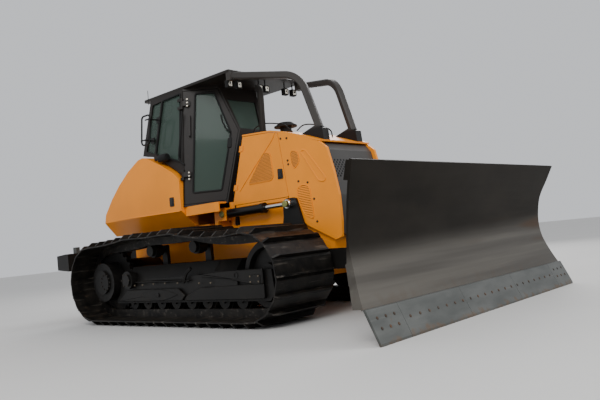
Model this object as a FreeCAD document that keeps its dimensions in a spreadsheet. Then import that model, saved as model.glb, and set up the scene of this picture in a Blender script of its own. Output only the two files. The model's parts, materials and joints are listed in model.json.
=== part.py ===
import FreeCAD, Part
import Sketcher
import math
import os

# Crawler dozer: wide-pad tracks, enclosed cab with roll-over sweeps, six-way blade on a C-frame, rear ripper.
# Millimetres. +X runs forward to the blade, +Y to the machine's left, +Z up from under the grouser tips.
# The origin is on the ground at the middle of the overall length. The right side's pieces lie at negative Y.

Vec = FreeCAD.Vector
doc = FreeCAD.newDocument("Dozer")
sheet = doc.addObject("Spreadsheet::Sheet", "Sizes")


class Size:
    """A number that also carries the spreadsheet expression it comes from."""

    def __init__(self, number, text):
        self.number = float(number)
        self.text = text

    def join(self, other, sign, number):
        text = other.text if isinstance(other, Size) else repr(float(other))
        return Size(number, "(%s %s %s)" % (self.text, sign, text))

    def __add__(self, other):
        return self.join(other, "+", self.number + num(other))

    def __sub__(self, other):
        return self.join(other, "-", self.number - num(other))

    def __mul__(self, other):
        return self.join(other, "*", self.number * num(other))

    def __truediv__(self, other):
        return self.join(other, "/", self.number / num(other))

    def __neg__(self):
        return Size(-self.number, "(-%s)" % self.text)

    def __radd__(self, other):
        return self + other

    def __rsub__(self, other):
        return (-self) + other

    def __rmul__(self, other):
        return self * other

    def __float__(self):
        return self.number


def num(value):
    return value.number if isinstance(value, Size) else float(value)


rows = []


def size(alias, value):
    """Writes one driving dimension into the sheet and returns it as a Size."""
    rows.append(alias)
    cell = "A%d" % len(rows)
    sheet.set(cell, str(value))
    sheet.setAlias(cell, alias)
    return Size(value, "Sizes." + alias)


# Driving dimensions of the running gear
gauge = size("track_gauge", 2150)
shoe_width = size("shoe_width", 914)
shoe_pitch = size("shoe_pitch", 203)
shoe_plate = size("shoe_plate", 16)
grouser_tall = size("grouser_tall", 60)
grouser_thick = size("grouser_thick", 20)
grouser_chamfer = size("grouser_chamfer", 70)
link_tall = size("link_tall", 95)
link_thick = size("link_thick", 42)
link_gap = size("link_gap", 100)
sprocket_x = size("sprocket_x", -100)
idler_x = size("idler_x", 3010)
sprocket_wrap = size("sprocket_wrap", 505)
idler_wrap = size("idler_wrap", 485)
chord_drop = size("chord_drop", 12)
carrier_run = size("carrier_run", 1125)
carrier_rear = size("carrier_rear", 850)
carrier_front = size("carrier_front", 1750)
sag_front = size("sag_front", 55)
sag_rear = size("sag_rear", 18)
roller_radius = size("roller_radius", 95)
roller_count = 8
roller_first = size("roller_first", 400)
roller_last = size("roller_last", 2560)
seat_gap = size("seat_gap", 0.3)
run_gap = size("run_gap", 6)

# Driving dimensions of the hull and superstructure
rear_reach = size("rear_reach", 1780)
front_reach = size("front_reach", 5075)
hull_half = size("hull_half", 440)
hull_low = size("hull_low", 420)
hull_high = size("hull_high", 1150)
tank_half = size("tank_half", 870)
tank_crease = size("tank_crease", 1420)
tank_floor = size("tank_floor", 1210)
tub_half = size("tub_half", 600)
cab_half = size("cab_half", 830)
cab_floor = size("cab_floor", 1462)
cab_sill = size("cab_sill", 28)
cab_top = size("cab_top", 3060)
cab_wall = size("cab_wall", 50)
cab_lean = size("cab_lean", 0.09)
cab_lean_from = size("cab_lean_from", 1490)
pillar_x = size("pillar_x", 1250)
door_turn = size("door_turn", 45)
door_thick = size("door_thick", 45)
door_gap = size("door_gap", 7)
roof_thick = size("roof_thick", 35)
roof_half = size("roof_half", 690)
hood_half = size("hood_half", 480)
hood_skin = size("hood_skin", 20)
glass_thick = size("glass_thick", 6)
sweep_half = size("sweep_half", 42)
sweep_bend = size("sweep_bend", 310)

# Driving dimensions of the blade, its linkage and the ripper
blade_half = size("blade_half", 2050)
blade_skin = size("blade_skin", 22)
frame_pivot_x = size("frame_pivot_x", 2250)
frame_pivot_z = size("frame_pivot_z", 640)
arm_inner = size("arm_inner", 500)
arm_thick = size("arm_thick", 60)
lift_pin_x = size("lift_pin_x", 2850)
lift_pin_z = size("lift_pin_z", 1317)
lift_base_x = size("lift_base_x", 1722)
lift_base_z = size("lift_base_z", 1308)
lift_radius = size("lift_radius", 58)
ball_x = size("ball_x", 4400)
ball_z = size("ball_z", 560)
ripper_half = size("ripper_half", 1100)
ripper_pin_x = size("ripper_pin_x", -700)
ripper_pin_z = size("ripper_pin_z", 700)
pin_gap = size("pin_gap", 0.3)

doc.recompute()
datum_x = (rear_reach - front_reach) / 2
ground_run = grouser_tall
sprocket_z = sprocket_wrap + ground_run
idler_z = idler_wrap + ground_run
track_y = gauge / 2


def fx(value):
    """A distance ahead of the datum, which is just ahead of the sprocket axles, as a place along X."""
    return datum_x + value


def bind(thing, name, value):
    if isinstance(value, Size):
        thing.setExpression(name, value.text)


TURN = {
    "x": FreeCAD.Rotation(Vec(0, 1, 0), 90),
    "y": FreeCAD.Rotation(Vec(1, 0, 0), -90),
    "z": FreeCAD.Rotation(),
    "xz": FreeCAD.Rotation(Vec(1, 0, 0), 90),
    "yz": FreeCAD.Rotation(Vec(1, 1, 1), 120),
    "xy": FreeCAD.Rotation(),
}


def place(thing, x, y, z, turn="z"):
    """Puts an object at a bound place, turned so that its own Z runs along the named axis."""
    thing.Placement = FreeCAD.Placement(Vec(num(x), num(y), num(z)), TURN[turn])
    bind(thing, "Placement.Base.x", x)
    bind(thing, "Placement.Base.y", y)
    bind(thing, "Placement.Base.z", z)
    return thing


def block(x0, x1, y0, y1, z0, z1):
    thing = doc.addObject("Part::Box", "Block")
    for name, low, high in (("Length", x0, x1), ("Width", y0, y1), ("Height", z0, z1)):
        span = high - low
        setattr(thing, name, num(span))
        bind(thing, name, span)
    return place(thing, x0, y0, z0)


def rod(axis, x, y, z, radius, length):
    """A round bar that starts at a point and runs along an axis."""
    thing = doc.addObject("Part::Cylinder", "Rod")
    thing.Radius = num(radius)
    thing.Height = num(length)
    bind(thing, "Radius", radius)
    bind(thing, "Height", length)
    return place(thing, x, y, z, axis)


def outline_sketch(points, plane, x, y, z):
    """A closed sketch of straight lines whose corners are all bound to the sheet."""
    sketch = doc.addObject("Sketcher::SketchObject", "Outline")
    count = len(points)
    at = [Vec(num(u), num(v), 0) for u, v in points]
    sketch.addGeometry([Part.LineSegment(at[i], at[(i + 1) % count]) for i in range(count)], False)
    rules = [Sketcher.Constraint("Coincident", i, 2, (i + 1) % count, 1) for i in range(count)]
    for i in range(count):
        rules.append(Sketcher.Constraint("DistanceX", -1, 1, i, 1, at[i].x))
        rules.append(Sketcher.Constraint("DistanceY", -1, 1, i, 1, at[i].y))
    sketch.addConstraint(rules)
    for i, (u, v) in enumerate(points):
        bind(sketch, "Constraints[%d]" % (count + 2 * i), u)
        bind(sketch, "Constraints[%d]" % (count + 2 * i + 1), v)
    return place(sketch, x, y, z, plane)


def prism(points, plane, low, high):
    """An outline in the XZ, YZ or XY plane carried from low to high along the plane's normal."""
    ends = {"xz": (0, high, 0), "yz": (low, 0, 0), "xy": (0, 0, low)}[plane]
    sketch = outline_sketch(points, plane, *ends)
    thing = doc.addObject("Part::Extrusion", "Prism")
    thing.Base = sketch
    thing.DirMode = "Normal"
    thing.Solid = True
    span = high - low
    thing.LengthFwd = num(span)
    bind(thing, "LengthFwd", span)
    return thing


def fuse(*things):
    thing = doc.addObject("Part::MultiFuse", "Joined")
    thing.Shapes = list(things)
    thing.Refine = True
    return thing


def cut(base, *tools):
    thing = doc.addObject("Part::Cut", "Cut")
    thing.Base = base
    thing.Tool = tools[0] if len(tools) == 1 else group(*tools)
    return thing


def common(base, tool):
    thing = doc.addObject("Part::Common", "Shared")
    thing.Base = base
    thing.Tool = tool
    return thing


def group(*things):
    thing = doc.addObject("Part::Compound", "Group")
    thing.Links = list(things)
    return thing


def mirror(source):
    thing = doc.addObject("Part::Mirroring", "Mirrored")
    thing.Source = source
    thing.Normal = Vec(0, 1, 0)
    return thing


def form(shape):
    """A piece whose shape is worked out in this script."""
    thing = doc.addObject("Part::Feature", "Form")
    thing.Shape = shape
    return thing


nodes = {}


def node(name, thing):
    thing.Label = name
    nodes[name] = thing
    return thing


def both(name, thing):
    """Registers the right piece and its mirror image on the left."""
    node(name + "_right", thing)
    node(name + "_left", mirror(thing))


def pair(name, thing):
    """Registers a right piece and its mirror image as one node of two separate solids."""
    node(name, group(thing, mirror(thing)))


def wire_of(corners, plane, offset):
    """A closed wire through corners (u, v) or (u, v, radius), where a radius rounds its corner."""
    order = {"xz": (0, 2), "yz": (1, 2), "xy": (0, 1)}[plane]

    def lift(u, v):
        place_at = [offset, offset, offset]
        place_at[order[0]] = u
        place_at[order[1]] = v
        return Vec(*place_at)

    corners = [tuple(num(c) for c in corner) for corner in corners]
    count = len(corners)
    ends = []
    for i, corner in enumerate(corners):
        here = Vec(corner[0], corner[1], 0)
        radius = corner[2] if len(corner) > 2 else 0
        if radius <= 0:
            ends.append((here, None, here))
            continue
        before = Vec(corners[i - 1][0], corners[i - 1][1], 0) - here
        after = Vec(corners[(i + 1) % count][0], corners[(i + 1) % count][1], 0) - here
        half = before.getAngle(after) / 2
        reach = radius / math.tan(half)
        before.normalize()
        after.normalize()
        toward = before + after
        toward.normalize()
        centre = here + toward * (radius / math.sin(half))
        ends.append((here + before * reach, centre - toward * radius, here + after * reach))
    edges = []
    for i, (first, middle, last) in enumerate(ends):
        if middle is not None:
            edges.append(Part.Arc(
                lift(first.x, first.y), lift(middle.x, middle.y), lift(last.x, last.y),
            ).toShape())
        start = lift(last.x, last.y)
        stop = lift(ends[(i + 1) % count][0].x, ends[(i + 1) % count][0].y)
        if start.distanceToPoint(stop) > 1e-6:
            edges.append(Part.LineSegment(start, stop).toShape())
    return Part.Wire(edges)


def slab(corners, plane, low, high):
    """A rounded outline carried from low to high across its plane."""
    low, high = num(low), num(high)
    along = {"xz": Vec(0, 1, 0), "yz": Vec(1, 0, 0), "xy": Vec(0, 0, 1)}[plane]
    return Part.Face(wire_of(corners, plane, low)).extrude(along * (high - low))


def bar(axis, x, y, z, radius, length):
    along = {"x": Vec(1, 0, 0), "y": Vec(0, 1, 0), "z": Vec(0, 0, 1)}[axis]
    return Part.makeCylinder(num(radius), num(length), Vec(num(x), num(y), num(z)), along)


def brick(x0, x1, y0, y1, z0, z1):
    low = Vec(num(x0), num(y0), num(z0))
    return Part.makeBox(num(x1) - low.x, num(y1) - low.y, num(z1) - low.z, low)


def turned(profile, x, z):
    """A ring or drum turned about an axle along Y, from its (y, radius) profile."""
    points = [Vec(num(x), num(y), num(z) + num(r)) for y, r in profile]
    face = Part.Face(Part.makePolygon(points + points[:1]))
    return face.revolve(Vec(num(x), 0, num(z)), Vec(0, 1, 0), 360)


def pipe(points, radius, bend):
    """A round bar of straight runs joined by tangent bends."""
    points = [Vec(*(num(c) for c in point)) for point in points]
    edges = []
    start = points[0]
    for before, here, after in zip(points, points[1:], points[2:]):
        back = before - here
        on = after - here
        half = back.getAngle(on) / 2
        back.normalize()
        on.normalize()
        reach = bend / math.tan(half)
        toward = back + on
        toward.normalize()
        first = here + back * reach
        last = here + on * reach
        edges.append(Part.LineSegment(start, first).toShape())
        middle = here + toward * (bend / math.sin(half) - bend)
        edges.append(Part.Arc(first, middle, last).toShape())
        start = last
    edges.append(Part.LineSegment(start, points[-1]).toShape())
    section = Part.Wire([Part.Circle(points[0], points[1] - points[0], num(radius)).toShape()])
    return Part.Wire(edges).makePipeShell([section], True, False)


# Tracks: a closed path of the shoes' outer faces, then plates, chain rails and grousers set along it
def track_path():
    """Points of the shoes' outer faces in the XZ plane, in order, close enough together to measure along."""
    centres = num(idler_x)
    rear = num(sprocket_x)
    path = []
    for step in range(0, 91):
        angle = math.radians(-90 + 2 * step)
        reach = num(idler_wrap)
        path.append((centres + reach * math.cos(angle), num(idler_z) + reach * math.sin(angle)))
    spans = [
        (centres, num(idler_z) + num(idler_wrap), num(carrier_front), num(carrier_run), num(sag_front)),
        (num(carrier_front), num(carrier_run), num(carrier_rear), num(carrier_run), num(sag_rear)),
        (num(carrier_rear), num(carrier_run), rear, num(sprocket_z) + num(sprocket_wrap), num(sag_rear)),
    ]
    for x0, z0, x1, z1, sag in spans:
        for step in range(1, 41):
            t = step / 40
            path.append((x0 + (x1 - x0) * t, z0 + (z1 - z0) * t - 4 * sag * t * (1 - t)))
    for step in range(1, 91):
        angle = math.radians(90 + 2 * step)
        reach = num(sprocket_wrap)
        path.append((rear + reach * math.cos(angle), num(sprocket_z) + reach * math.sin(angle)))
    return path


def hinge_points():
    """Where one shoe ends and the next begins, spread evenly along the path."""
    path = track_path()
    path.append(path[0])
    lengths = [0.0]
    for (xa, za), (xb, zb) in zip(path, path[1:]):
        lengths.append(lengths[-1] + math.hypot(xb - xa, zb - za))
    shoes = round(lengths[-1] / num(shoe_pitch))
    found = []
    k = 0
    for i in range(shoes):
        want = lengths[-1] * (i + 0.5) / shoes
        while lengths[k + 1] < want:
            k += 1
        t = (want - lengths[k]) / (lengths[k + 1] - lengths[k])
        x = path[k][0] + t * (path[k + 1][0] - path[k][0])
        z = path[k][1] + t * (path[k + 1][1] - path[k][1])
        found.append(Vec(num(datum_x) + x, 0, z))
    return found


def inset(points, depth):
    """The same loop moved inwards by depth."""
    moved = []
    count = len(points)
    for i, here in enumerate(points):
        along = points[(i + 1) % count] - points[i - 1]
        along.normalize()
        moved.append(here + Vec(-along.z, 0, along.x) * depth)
    return moved


def band(points, outer, inner, low, high):
    """A closed ring between two depths under the shoe faces, from low to high along Y."""
    rings = []
    for depth in (outer, inner):
        ring = [p + Vec(0, low, 0) for p in inset(points, depth)]
        rings.append(Part.Face(Part.makePolygon(ring + ring[:1])))
    return rings[0].cut(rings[1]).extrude(Vec(0, high - low, 0))


def track_loop():
    points = hinge_points()
    half = num(shoe_width) / 2
    centre = -num(track_y)
    plate = num(shoe_plate)
    loop = [band(points, 0, plate, centre - half, centre + half)]
    for side in (-1, 1):
        middle = centre + side * (num(link_gap) / 2 + num(link_thick) / 2)
        edge = num(link_thick) / 2
        loop.append(band(points, plate - 2, plate + num(link_tall), middle - edge, middle + edge))
    tall = num(grouser_tall)
    chamfer = num(grouser_chamfer)
    for i, here in enumerate(points):
        along = points[(i + 1) % len(points)] - here
        length = along.Length
        along.normalize()
        out = Vec(along.z, 0, -along.x)
        foot = here + along * (length * 0.16)
        corners = [
            (-half, -6), (half, -6), (half, 8), (half - chamfer, tall), (chamfer - half, tall), (-half, 8),
        ]
        ring = [foot + Vec(0, centre + y, 0) + out * rise for y, rise in corners]
        loop.append(Part.Face(Part.makePolygon(ring + ring[:1])).extrude(along * num(grouser_thick)))
    return loop[0].multiFuse(loop[1:])


both("track", form(track_loop()))

# Sprockets: a toothed ring between the chain rails and a final drive that stands out from it
sprocket_teeth = 25
tooth_root = sprocket_wrap - shoe_plate - link_tall + 12
tooth_tip = tooth_root + 34
ring_half = link_gap / 2 - 14


def sprocket_ring():
    body = doc.addObject("PartDesign::Body", "SprocketBody")
    plane = [f for f in body.Origin.OriginFeatures if f.Role == "XZ_Plane"][0]
    disc = body.newObject("Sketcher::SketchObject", "Disc")
    disc.AttachmentSupport = [(plane, "")]
    disc.MapMode = "FlatFace"
    disc.addGeometry(Part.Circle(Vec(0, 0, 0), Vec(0, 0, 1), num(tooth_root)), False)
    disc.addConstraint([
        Sketcher.Constraint("Coincident", 0, 3, -1, 1), Sketcher.Constraint("Radius", 0, num(tooth_root)),
    ])
    bind(disc, "Constraints[1]", tooth_root)
    pad = body.newObject("PartDesign::Pad", "DiscPad")
    pad.Profile = disc
    pad.Length = 2 * num(ring_half)
    bind(pad, "Length", ring_half * 2)
    pad.Midplane = True
    tooth = body.newObject("Sketcher::SketchObject", "Tooth")
    tooth.AttachmentSupport = [(plane, "")]
    tooth.MapMode = "FlatFace"
    wide = tooth_root * (math.pi / sprocket_teeth * 0.62)
    corners = [
        (-wide, tooth_root * 0.97), (wide, tooth_root * 0.97), (wide * 0.45, tooth_tip),
        (-wide * 0.45, tooth_tip),
    ]
    at = [Vec(num(u), num(v), 0) for u, v in corners]
    tooth.addGeometry([Part.LineSegment(at[i], at[(i + 1) % 4]) for i in range(4)], False)
    rules = [Sketcher.Constraint("Coincident", i, 2, (i + 1) % 4, 1) for i in range(4)]
    for i in range(4):
        rules.append(Sketcher.Constraint("DistanceX", -1, 1, i, 1, at[i].x))
        rules.append(Sketcher.Constraint("DistanceY", -1, 1, i, 1, at[i].y))
    tooth.addConstraint(rules)
    for i, (u, v) in enumerate(corners):
        bind(tooth, "Constraints[%d]" % (4 + 2 * i), u)
        bind(tooth, "Constraints[%d]" % (5 + 2 * i), v)
    raised = body.newObject("PartDesign::Pad", "ToothPad")
    raised.Profile = tooth
    raised.Length = 2 * num(ring_half)
    bind(raised, "Length", ring_half * 2)
    raised.Midplane = True
    teeth = body.newObject("PartDesign::PolarPattern", "Teeth")
    teeth.Originals = [raised]
    teeth.Axis = ([f for f in body.Origin.OriginFeatures if f.Role == "Y_Axis"][0], [""])
    teeth.Angle = 360
    teeth.Occurrences = sprocket_teeth
    body.Tip = teeth
    return place(body, fx(sprocket_x), -track_y, sprocket_z)


hub_radius = size("hub_radius", 265)
hub_reach = size("hub_reach", 235)
drive_radius = size("drive_radius", 290)
final_drive = fuse(
    rod("y", fx(sprocket_x), -(track_y + hub_reach), sprocket_z, hub_radius, hub_reach),
    rod("y", fx(sprocket_x), -(track_y + hub_reach + 30), sprocket_z, hub_radius * 0.62, 40),
    sprocket_ring(),
    rod("y", fx(sprocket_x), -track_y, sprocket_z, drive_radius, track_y - hull_half),
)
both("sprocket", final_drive)

# Idlers: a wheel with a centre flange that runs between the rails, and its axle in the frame's fork
fork_inner = size("fork_inner", 118)
fork_plate = size("fork_plate", 26)
idler_rim = idler_wrap - shoe_plate - link_tall - chord_drop
rail_out = link_gap / 2 + link_thick
flange_half = link_gap / 2 - run_gap


def idler_wheel():
    rim = num(idler_rim)
    wide = num(rail_out)
    flange = num(flange_half)
    profile = [
        (-wide, rim - 60), (-wide, rim), (-flange, rim), (-flange, rim + 30), (flange, rim + 30),
        (flange, rim),
        (wide, rim), (wide, rim - 60), (24, rim - 75), (24, 130), (wide, 120), (wide, 40), (-wide, 40),
        (-wide, 120),
        (-24, 130), (-24, rim - 75),
    ]
    wheel = turned([(y - num(track_y), r) for y, r in profile], fx(idler_x), idler_z)
    reach = num(fork_inner) + num(fork_plate)
    axle = bar("y", fx(idler_x), -num(track_y) - reach, idler_z, 42, 2 * reach)
    return wheel.fuse(axle)


pair("idlers", form(idler_wheel()))

# Rollers under the frame and the two carriers under the top run
roller_z = ground_run + shoe_plate + link_tall + roller_radius + seat_gap


def roller(x, z, radius, reach_out, reach_in):
    wide, flange = num(rail_out), num(flange_half)
    r = num(radius)
    profile = [
        (-wide, 0), (-wide, r), (-flange, r), (-flange, r + 18), (flange, r + 18), (flange, r), (wide, r),
        (wide, 0),
    ]
    wheel = turned([(y - num(track_y), value) for y, value in profile], x, z)
    pin = bar("y", x, -num(track_y) - num(reach_out), z, 30, num(reach_out) + num(reach_in))
    return wheel.fuse(pin)


def lower_rollers():
    gap = (num(roller_last) - num(roller_first)) / (roller_count - 1)
    reach = num(fork_inner) - num(seat_gap)
    return [roller(
        num(fx(roller_first)) + i * gap, num(roller_z), roller_radius, reach, reach,
    ) for i in range(roller_count)]


carrier_radius = size("carrier_radius", 72)
carrier_z = carrier_run - shoe_plate - link_tall - carrier_radius - chord_drop
carrier_in = fork_inner + fork_plate - seat_gap
carriers = [roller(fx(x), carrier_z, carrier_radius, rail_out, carrier_in) for x in (
    carrier_rear, carrier_front,
)]
pair("rollers", form(Part.makeCompound(lower_rollers() + carriers)))

# Track frames: a box beam, roller guards each side, the recoil housing and the fork that holds the idler
frame_top = size("frame_top", 740)
frame_low = size("frame_low", 395)
frame_step = size("frame_step", 545)
guard_low = size("guard_low", 262)
pivot_x = size("pivot_x", 460)
pivot_z = size("pivot_z", 575)
frame_half = fork_inner + fork_plate


def track_frame():
    out = track_y + frame_half
    inn = track_y - frame_half
    beam = prism(
        [
            (-inn, frame_low), (-out, frame_low), (-out, frame_step), (-(out - 110), frame_top),
            (-inn, frame_top),
        ],
        "yz", fx(roller_first - 40), fx(idler_x - idler_rim - 90),
    )
    housing = prism(
        [
            (-inn, frame_low), (-(out + 26), frame_low), (-(out + 26), frame_step + 70),
            (-(out - 90), frame_top), (-inn, frame_top),
        ],
        "yz", fx(idler_x - 810), fx(idler_x - idler_rim - 60),
    )
    pieces = [beam, housing]
    for low, high in ((-out, -(out - fork_plate)), (-(inn + fork_plate), -inn)):
        guard = [
            (fx(roller_first - 330), guard_low), (fx(idler_x + 60), guard_low),
            (fx(idler_x + 130), guard_low + 90),
            (fx(idler_x + 110), frame_step + 60), (fx(roller_first - 230), frame_step + 10),
            (fx(roller_first - 330), guard_low + 130),
        ]
        pieces.append(prism(guard, "xz", low, high))
    for x in (carrier_rear, carrier_front):
        pieces.append(block(fx(x - 55), fx(x + 55), -inn, -(inn - 45), frame_top - 120, carrier_z + 60))
    joined = fuse(*pieces)
    holes = [
        rod("y", fx(idler_x), -(out + 10), idler_z, 42 + seat_gap, frame_half * 2 + 20),
        rod("y", fx(sprocket_x), -(out + 10), sprocket_z, drive_radius + run_gap, frame_half * 2 + 20),
        rod("y", fx(sprocket_x), -(track_y + 60), sprocket_z, tooth_tip + run_gap, 120),
        rod("y", fx(pivot_x), -(out + 10), pivot_z, 95 + seat_gap, frame_half * 2 + 20),
    ]
    return cut(joined, *holes)


both("track_frame", track_frame())

# Shafts that carry the frames: the pivot shaft with its bolted cap, and the equaliser bar across the front
pivot_shaft = fuse(
    rod("y", fx(pivot_x), -(track_y + frame_half), pivot_z, 95, (track_y + frame_half) * 2),
    block(
        fx(2480), fx(2600), -(track_y - frame_half - seat_gap), track_y - frame_half - seat_gap,
        hull_low - 90, hull_low,
    ),
)
node("pivot_shaft", pivot_shaft)
cap = fuse(
    rod("y", fx(pivot_x), -(track_y + frame_half + 75), pivot_z, 118, 75 - seat_gap),
    rod("y", fx(pivot_x), -(track_y + frame_half + 100), pivot_z, 80, 40),
)
pair("pivot_caps", cap)

# Hull: the welded frame between the tracks, with the pins that carry the blade's frame and the cab's mounts
hull_front = 3400
pin_reach = arm_inner + arm_thick + 12
deck_half = tub_half - 10
hull_parts = [
    prism(
        [
            (fx(-560), hull_low + 160), (fx(-420), hull_low), (fx(3000), hull_low),
            (fx(hull_front), hull_low + 230),
            (fx(hull_front), hull_high), (fx(-560), hull_high),
        ],
        "xz", -hull_half, hull_half,
    ),
    block(fx(-560), fx(1420), -deck_half, deck_half, hull_high - 60, tank_floor),
    rod("y", fx(frame_pivot_x), -pin_reach, frame_pivot_z, 70, pin_reach * 2),
    rod("y", fx(frame_pivot_x), -(arm_inner - 3), frame_pivot_z, 115, (arm_inner - 3) * 2),
]
for x, y in ((500, 380), (500, -380), (1700, 380), (1700, -380)):
    hull_parts.append(rod("z", fx(x), y, hull_high - 20, 55, cab_floor - hull_high + 20))
lift_y = size("lift_y", 558)
cheek = size("cheek", 20)
lift_eye_half = size("lift_eye_half", 31)
bay_half = hull_half - 4
bay_high = 1404
for side in (-1, 1):
    for depth, thick in ((lift_eye_half + 1, cheek), (-(lift_eye_half + 1 + cheek), cheek)):
        low, high = sorted((side * num(lift_y + depth), side * num(lift_y + depth + thick)))
        hull_parts.append(block(fx(1585), fx(1780), low, high, lift_base_z - 86, lift_base_z + 80))
    low, high = sorted((side * num(hull_half - 20), side * num(lift_y + lift_eye_half + cheek)))
    hull_parts.append(block(fx(1560), fx(1625), low, high, hull_high - 60, lift_base_z + 80))
    low = lift_y * side - (lift_eye_half + cheek + 12)
    hull_parts.append(rod("y", fx(lift_base_x), low, lift_base_z, 34, (lift_eye_half + cheek + 12) * 2))
    low, high = sorted((side * num(bay_half - 20), side * num(bay_half)))
    hull_parts.append(block(fx(1850), fx(3050), low, high, hull_high - 20, bay_high))
    low, high = sorted((side * num(bay_half - 20), side * num(hood_half - 4)))
    hull_parts.append(block(fx(1850), fx(2780), low, high, bay_high - 40, bay_high))
drawbar_x = size("drawbar_x", -715)
hull_parts.append(block(fx(drawbar_x - 55), fx(-420), -75, 75, hull_low + 35, hull_low + 85))
drawbar_hole = rod("z", fx(drawbar_x), 0, hull_low + 25, 26, 70)
shaft_hole = rod("y", fx(pivot_x), -450, pivot_z, 95 + seat_gap, 900)
node("main_frame", cut(fuse(*hull_parts), drawbar_hole, shaft_hole))

# Rear body: the fuel tank with its two arms beside the seat, flared out above the tracks
tank_side = [
    (fx(-710), tank_floor), (fx(-680), 1350), (fx(-620), 1540), (fx(-420), 1750), (fx(-200), 1930),
    (fx(60), 2100),
    (fx(330), 2225), (fx(430), 2240), (fx(530), 2225), (fx(840), 2080), (fx(1090), 1940), (fx(1215), 1841),
    (fx(1215), tank_floor),
]
tank_section = [
    (-(tub_half + 60), tank_floor), (tub_half + 60, tank_floor), (tank_half, tank_crease), (tank_half, 2300),
    (-tank_half, 2300), (-tank_half, tank_crease),
]
tank = cut(
    common(prism(tank_side, "xz", -tank_half, tank_half), prism(tank_section, "yz", fx(-720), fx(1240))),
    block(fx(330), fx(1240), -(tub_half + 6), tub_half + 6, tank_floor - 10, 2300),
)
node("rear_body", tank)

# Decks: the plate and its deep outer skirt that lie under each door's sill
deck_plan = [(fx(1222), -640), (fx(1222), -808), (fx(1800), -800), (fx(1850), -770), (fx(1850), -640)]
deck_skirt = [
    (fx(1222), -796), (fx(1222), -808), (fx(1800), -800), (fx(1850), -770), (fx(1850), -754),
    (fx(1795), -788),
]
deck = fuse(
    prism(deck_plan, "xy", cab_floor - 22, cab_floor - seat_gap),
    prism(deck_skirt, "xy", cab_floor - 122, cab_floor - 20),
)
pair("step_rails", deck)


# Cab: one shell whose sides lean inwards, whose doors turn in to a narrow kinked front, on a floor with a tub
head = num(cab_top)
door_lean = [(0, 1495), (547, 1504), (730, head - 632), (468, head - 40), (0, head - 40)]
window_lean = [(108, 1637), (491, 1639), (632, head - 652), (420, head - 85), (163, head - 85)]
pillar_wide = 25


def wall_y(z):
    """The outer face of the cab's right side at a height."""
    return -num(cab_half) + num(cab_lean) * (num(z) - num(cab_lean_from))


def on_door(along, depth, z):
    """A point along the right door's outer face, a depth inwards from it and at a height."""
    turn = math.radians(num(door_turn))
    x = num(fx(pillar_x)) + along * math.cos(turn) - num(depth) * math.sin(turn)
    return Vec(x, wall_y(z) + along * math.sin(turn) + num(depth) * math.cos(turn), num(z))


def door_slab(corners, outer, inner):
    """A closed plate parallel to the right door, from (along, z) corners, between two depths."""
    ring = [on_door(along, outer, z) for along, z in corners]
    return Part.Face(Part.makePolygon(ring + ring[:1])).extrude(on_door(0, inner, 0) - on_door(0, outer, 0))


def side_slab(corners, outer, inner):
    """A closed plate parallel to the cab's leaning right side, from (x, z) corners, between two depths."""
    ring = [Vec(num(fx(x)), wall_y(z) + num(outer), num(z)) for x, z in corners]
    return Part.Face(Part.makePolygon(ring + ring[:1])).extrude(Vec(0, num(inner) - num(outer), 0))


def grown(corners, margin):
    """An outline moved outwards by a margin, its corners kept sharp."""
    corners = [(num(u), num(v)) for u, v in corners]
    area = sum(a[0] * b[1] - b[0] * a[1] for a, b in zip(corners, corners[1:] + corners[:1]))
    sign = 1 if area > 0 else -1
    lines = []
    for (ua, va), (ub, vb) in zip(corners, corners[1:] + corners[:1]):
        length = math.hypot(ub - ua, vb - va)
        nu, nv = sign * (vb - va) / length, -sign * (ub - ua) / length
        lines.append((nu, nv, nu * ua + nv * va + num(margin)))
    out = []
    for (a, b, c), (d, e, f) in zip(lines[-1:] + lines[:-1], lines):
        det = a * e - b * d
        out.append(((c * e - b * f) / det, (a * f - c * d) / det))
    return out


def front_x(z):
    """How far forward the kinked front stands at a height, a pillar's width ahead of the doors."""
    low, waist, top = door_lean[1:4]
    first, second = (low, waist) if num(z) <= waist[1] else (waist, top)
    along = first[0] + (second[0] - first[0]) * (num(z) - first[1]) / (second[1] - first[1]) + pillar_wide
    return on_door(along, 0, z).x


def cab_side(floor):
    """The cab's outline seen from the side, down to a floor level."""
    waist = door_lean[2][1]
    rear = [
        (510, cab_top), (306, 2290), (425, 2262), (532, 2248), (842, 2104), (1092, 1964), (1219, 1862),
        (1219, floor),
    ]
    return [(fx(x), z) for x, z in rear] + [(front_x(z), z) for z in (floor, waist, cab_top)]


def cab_solid(side, depth):
    """What lies inside a side outline, both leaning sides and both door planes, moved inwards by a depth."""
    low, high = 1400, head + 40
    half = [wall_y(low) + depth, wall_y(high) + depth]
    shape = slab(side, "xz", half[0], -half[0])
    shape = shape.common(slab(
        [(half[0], low), (-half[0], low), (-half[1], high), (half[1], high)], "yz", fx(200), fx(2000),
    ))
    near = [on_door(-1600, depth, low), on_door(1200, depth, low)]
    far = [Vec(point.x, 2400, low) for point in near]
    ring = [near[0], near[1], far[1], far[0], near[0]]
    behind = Part.Face(Part.makePolygon(ring)).extrude(Vec(0, num(cab_lean) * (high - low), high - low))
    return shape.common(behind).common(behind.mirror(Vec(), Vec(0, 1, 0)))


def right_and_left(shape):
    return [shape, shape.mirror(Vec(), Vec(0, 1, 0))]


quarter_windows = [
    [(391, 2340), (580, 2275), (752, head - 68), (552, head - 79)],
    [(612, 2264), (1155, 2077), (1193, head - 52), (786, head - 64)],
]
hinge_along = -14
hinge_depth = -24
hinge_levels = (head - 1170, head - 210)
hinge_way = Vec(0, num(cab_lean), 1)
screen_low = (195, head - 608)
screen_high = (262, head - 192)
back_low = (600, head - 640)
back_high = (560, head - 120)


def hinge_bar(level, radius, length):
    """A round bar on the right door's hinge line, upwards from a level."""
    return Part.makeCylinder(radius, length, on_door(hinge_along, hinge_depth, level), hinge_way)


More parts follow.
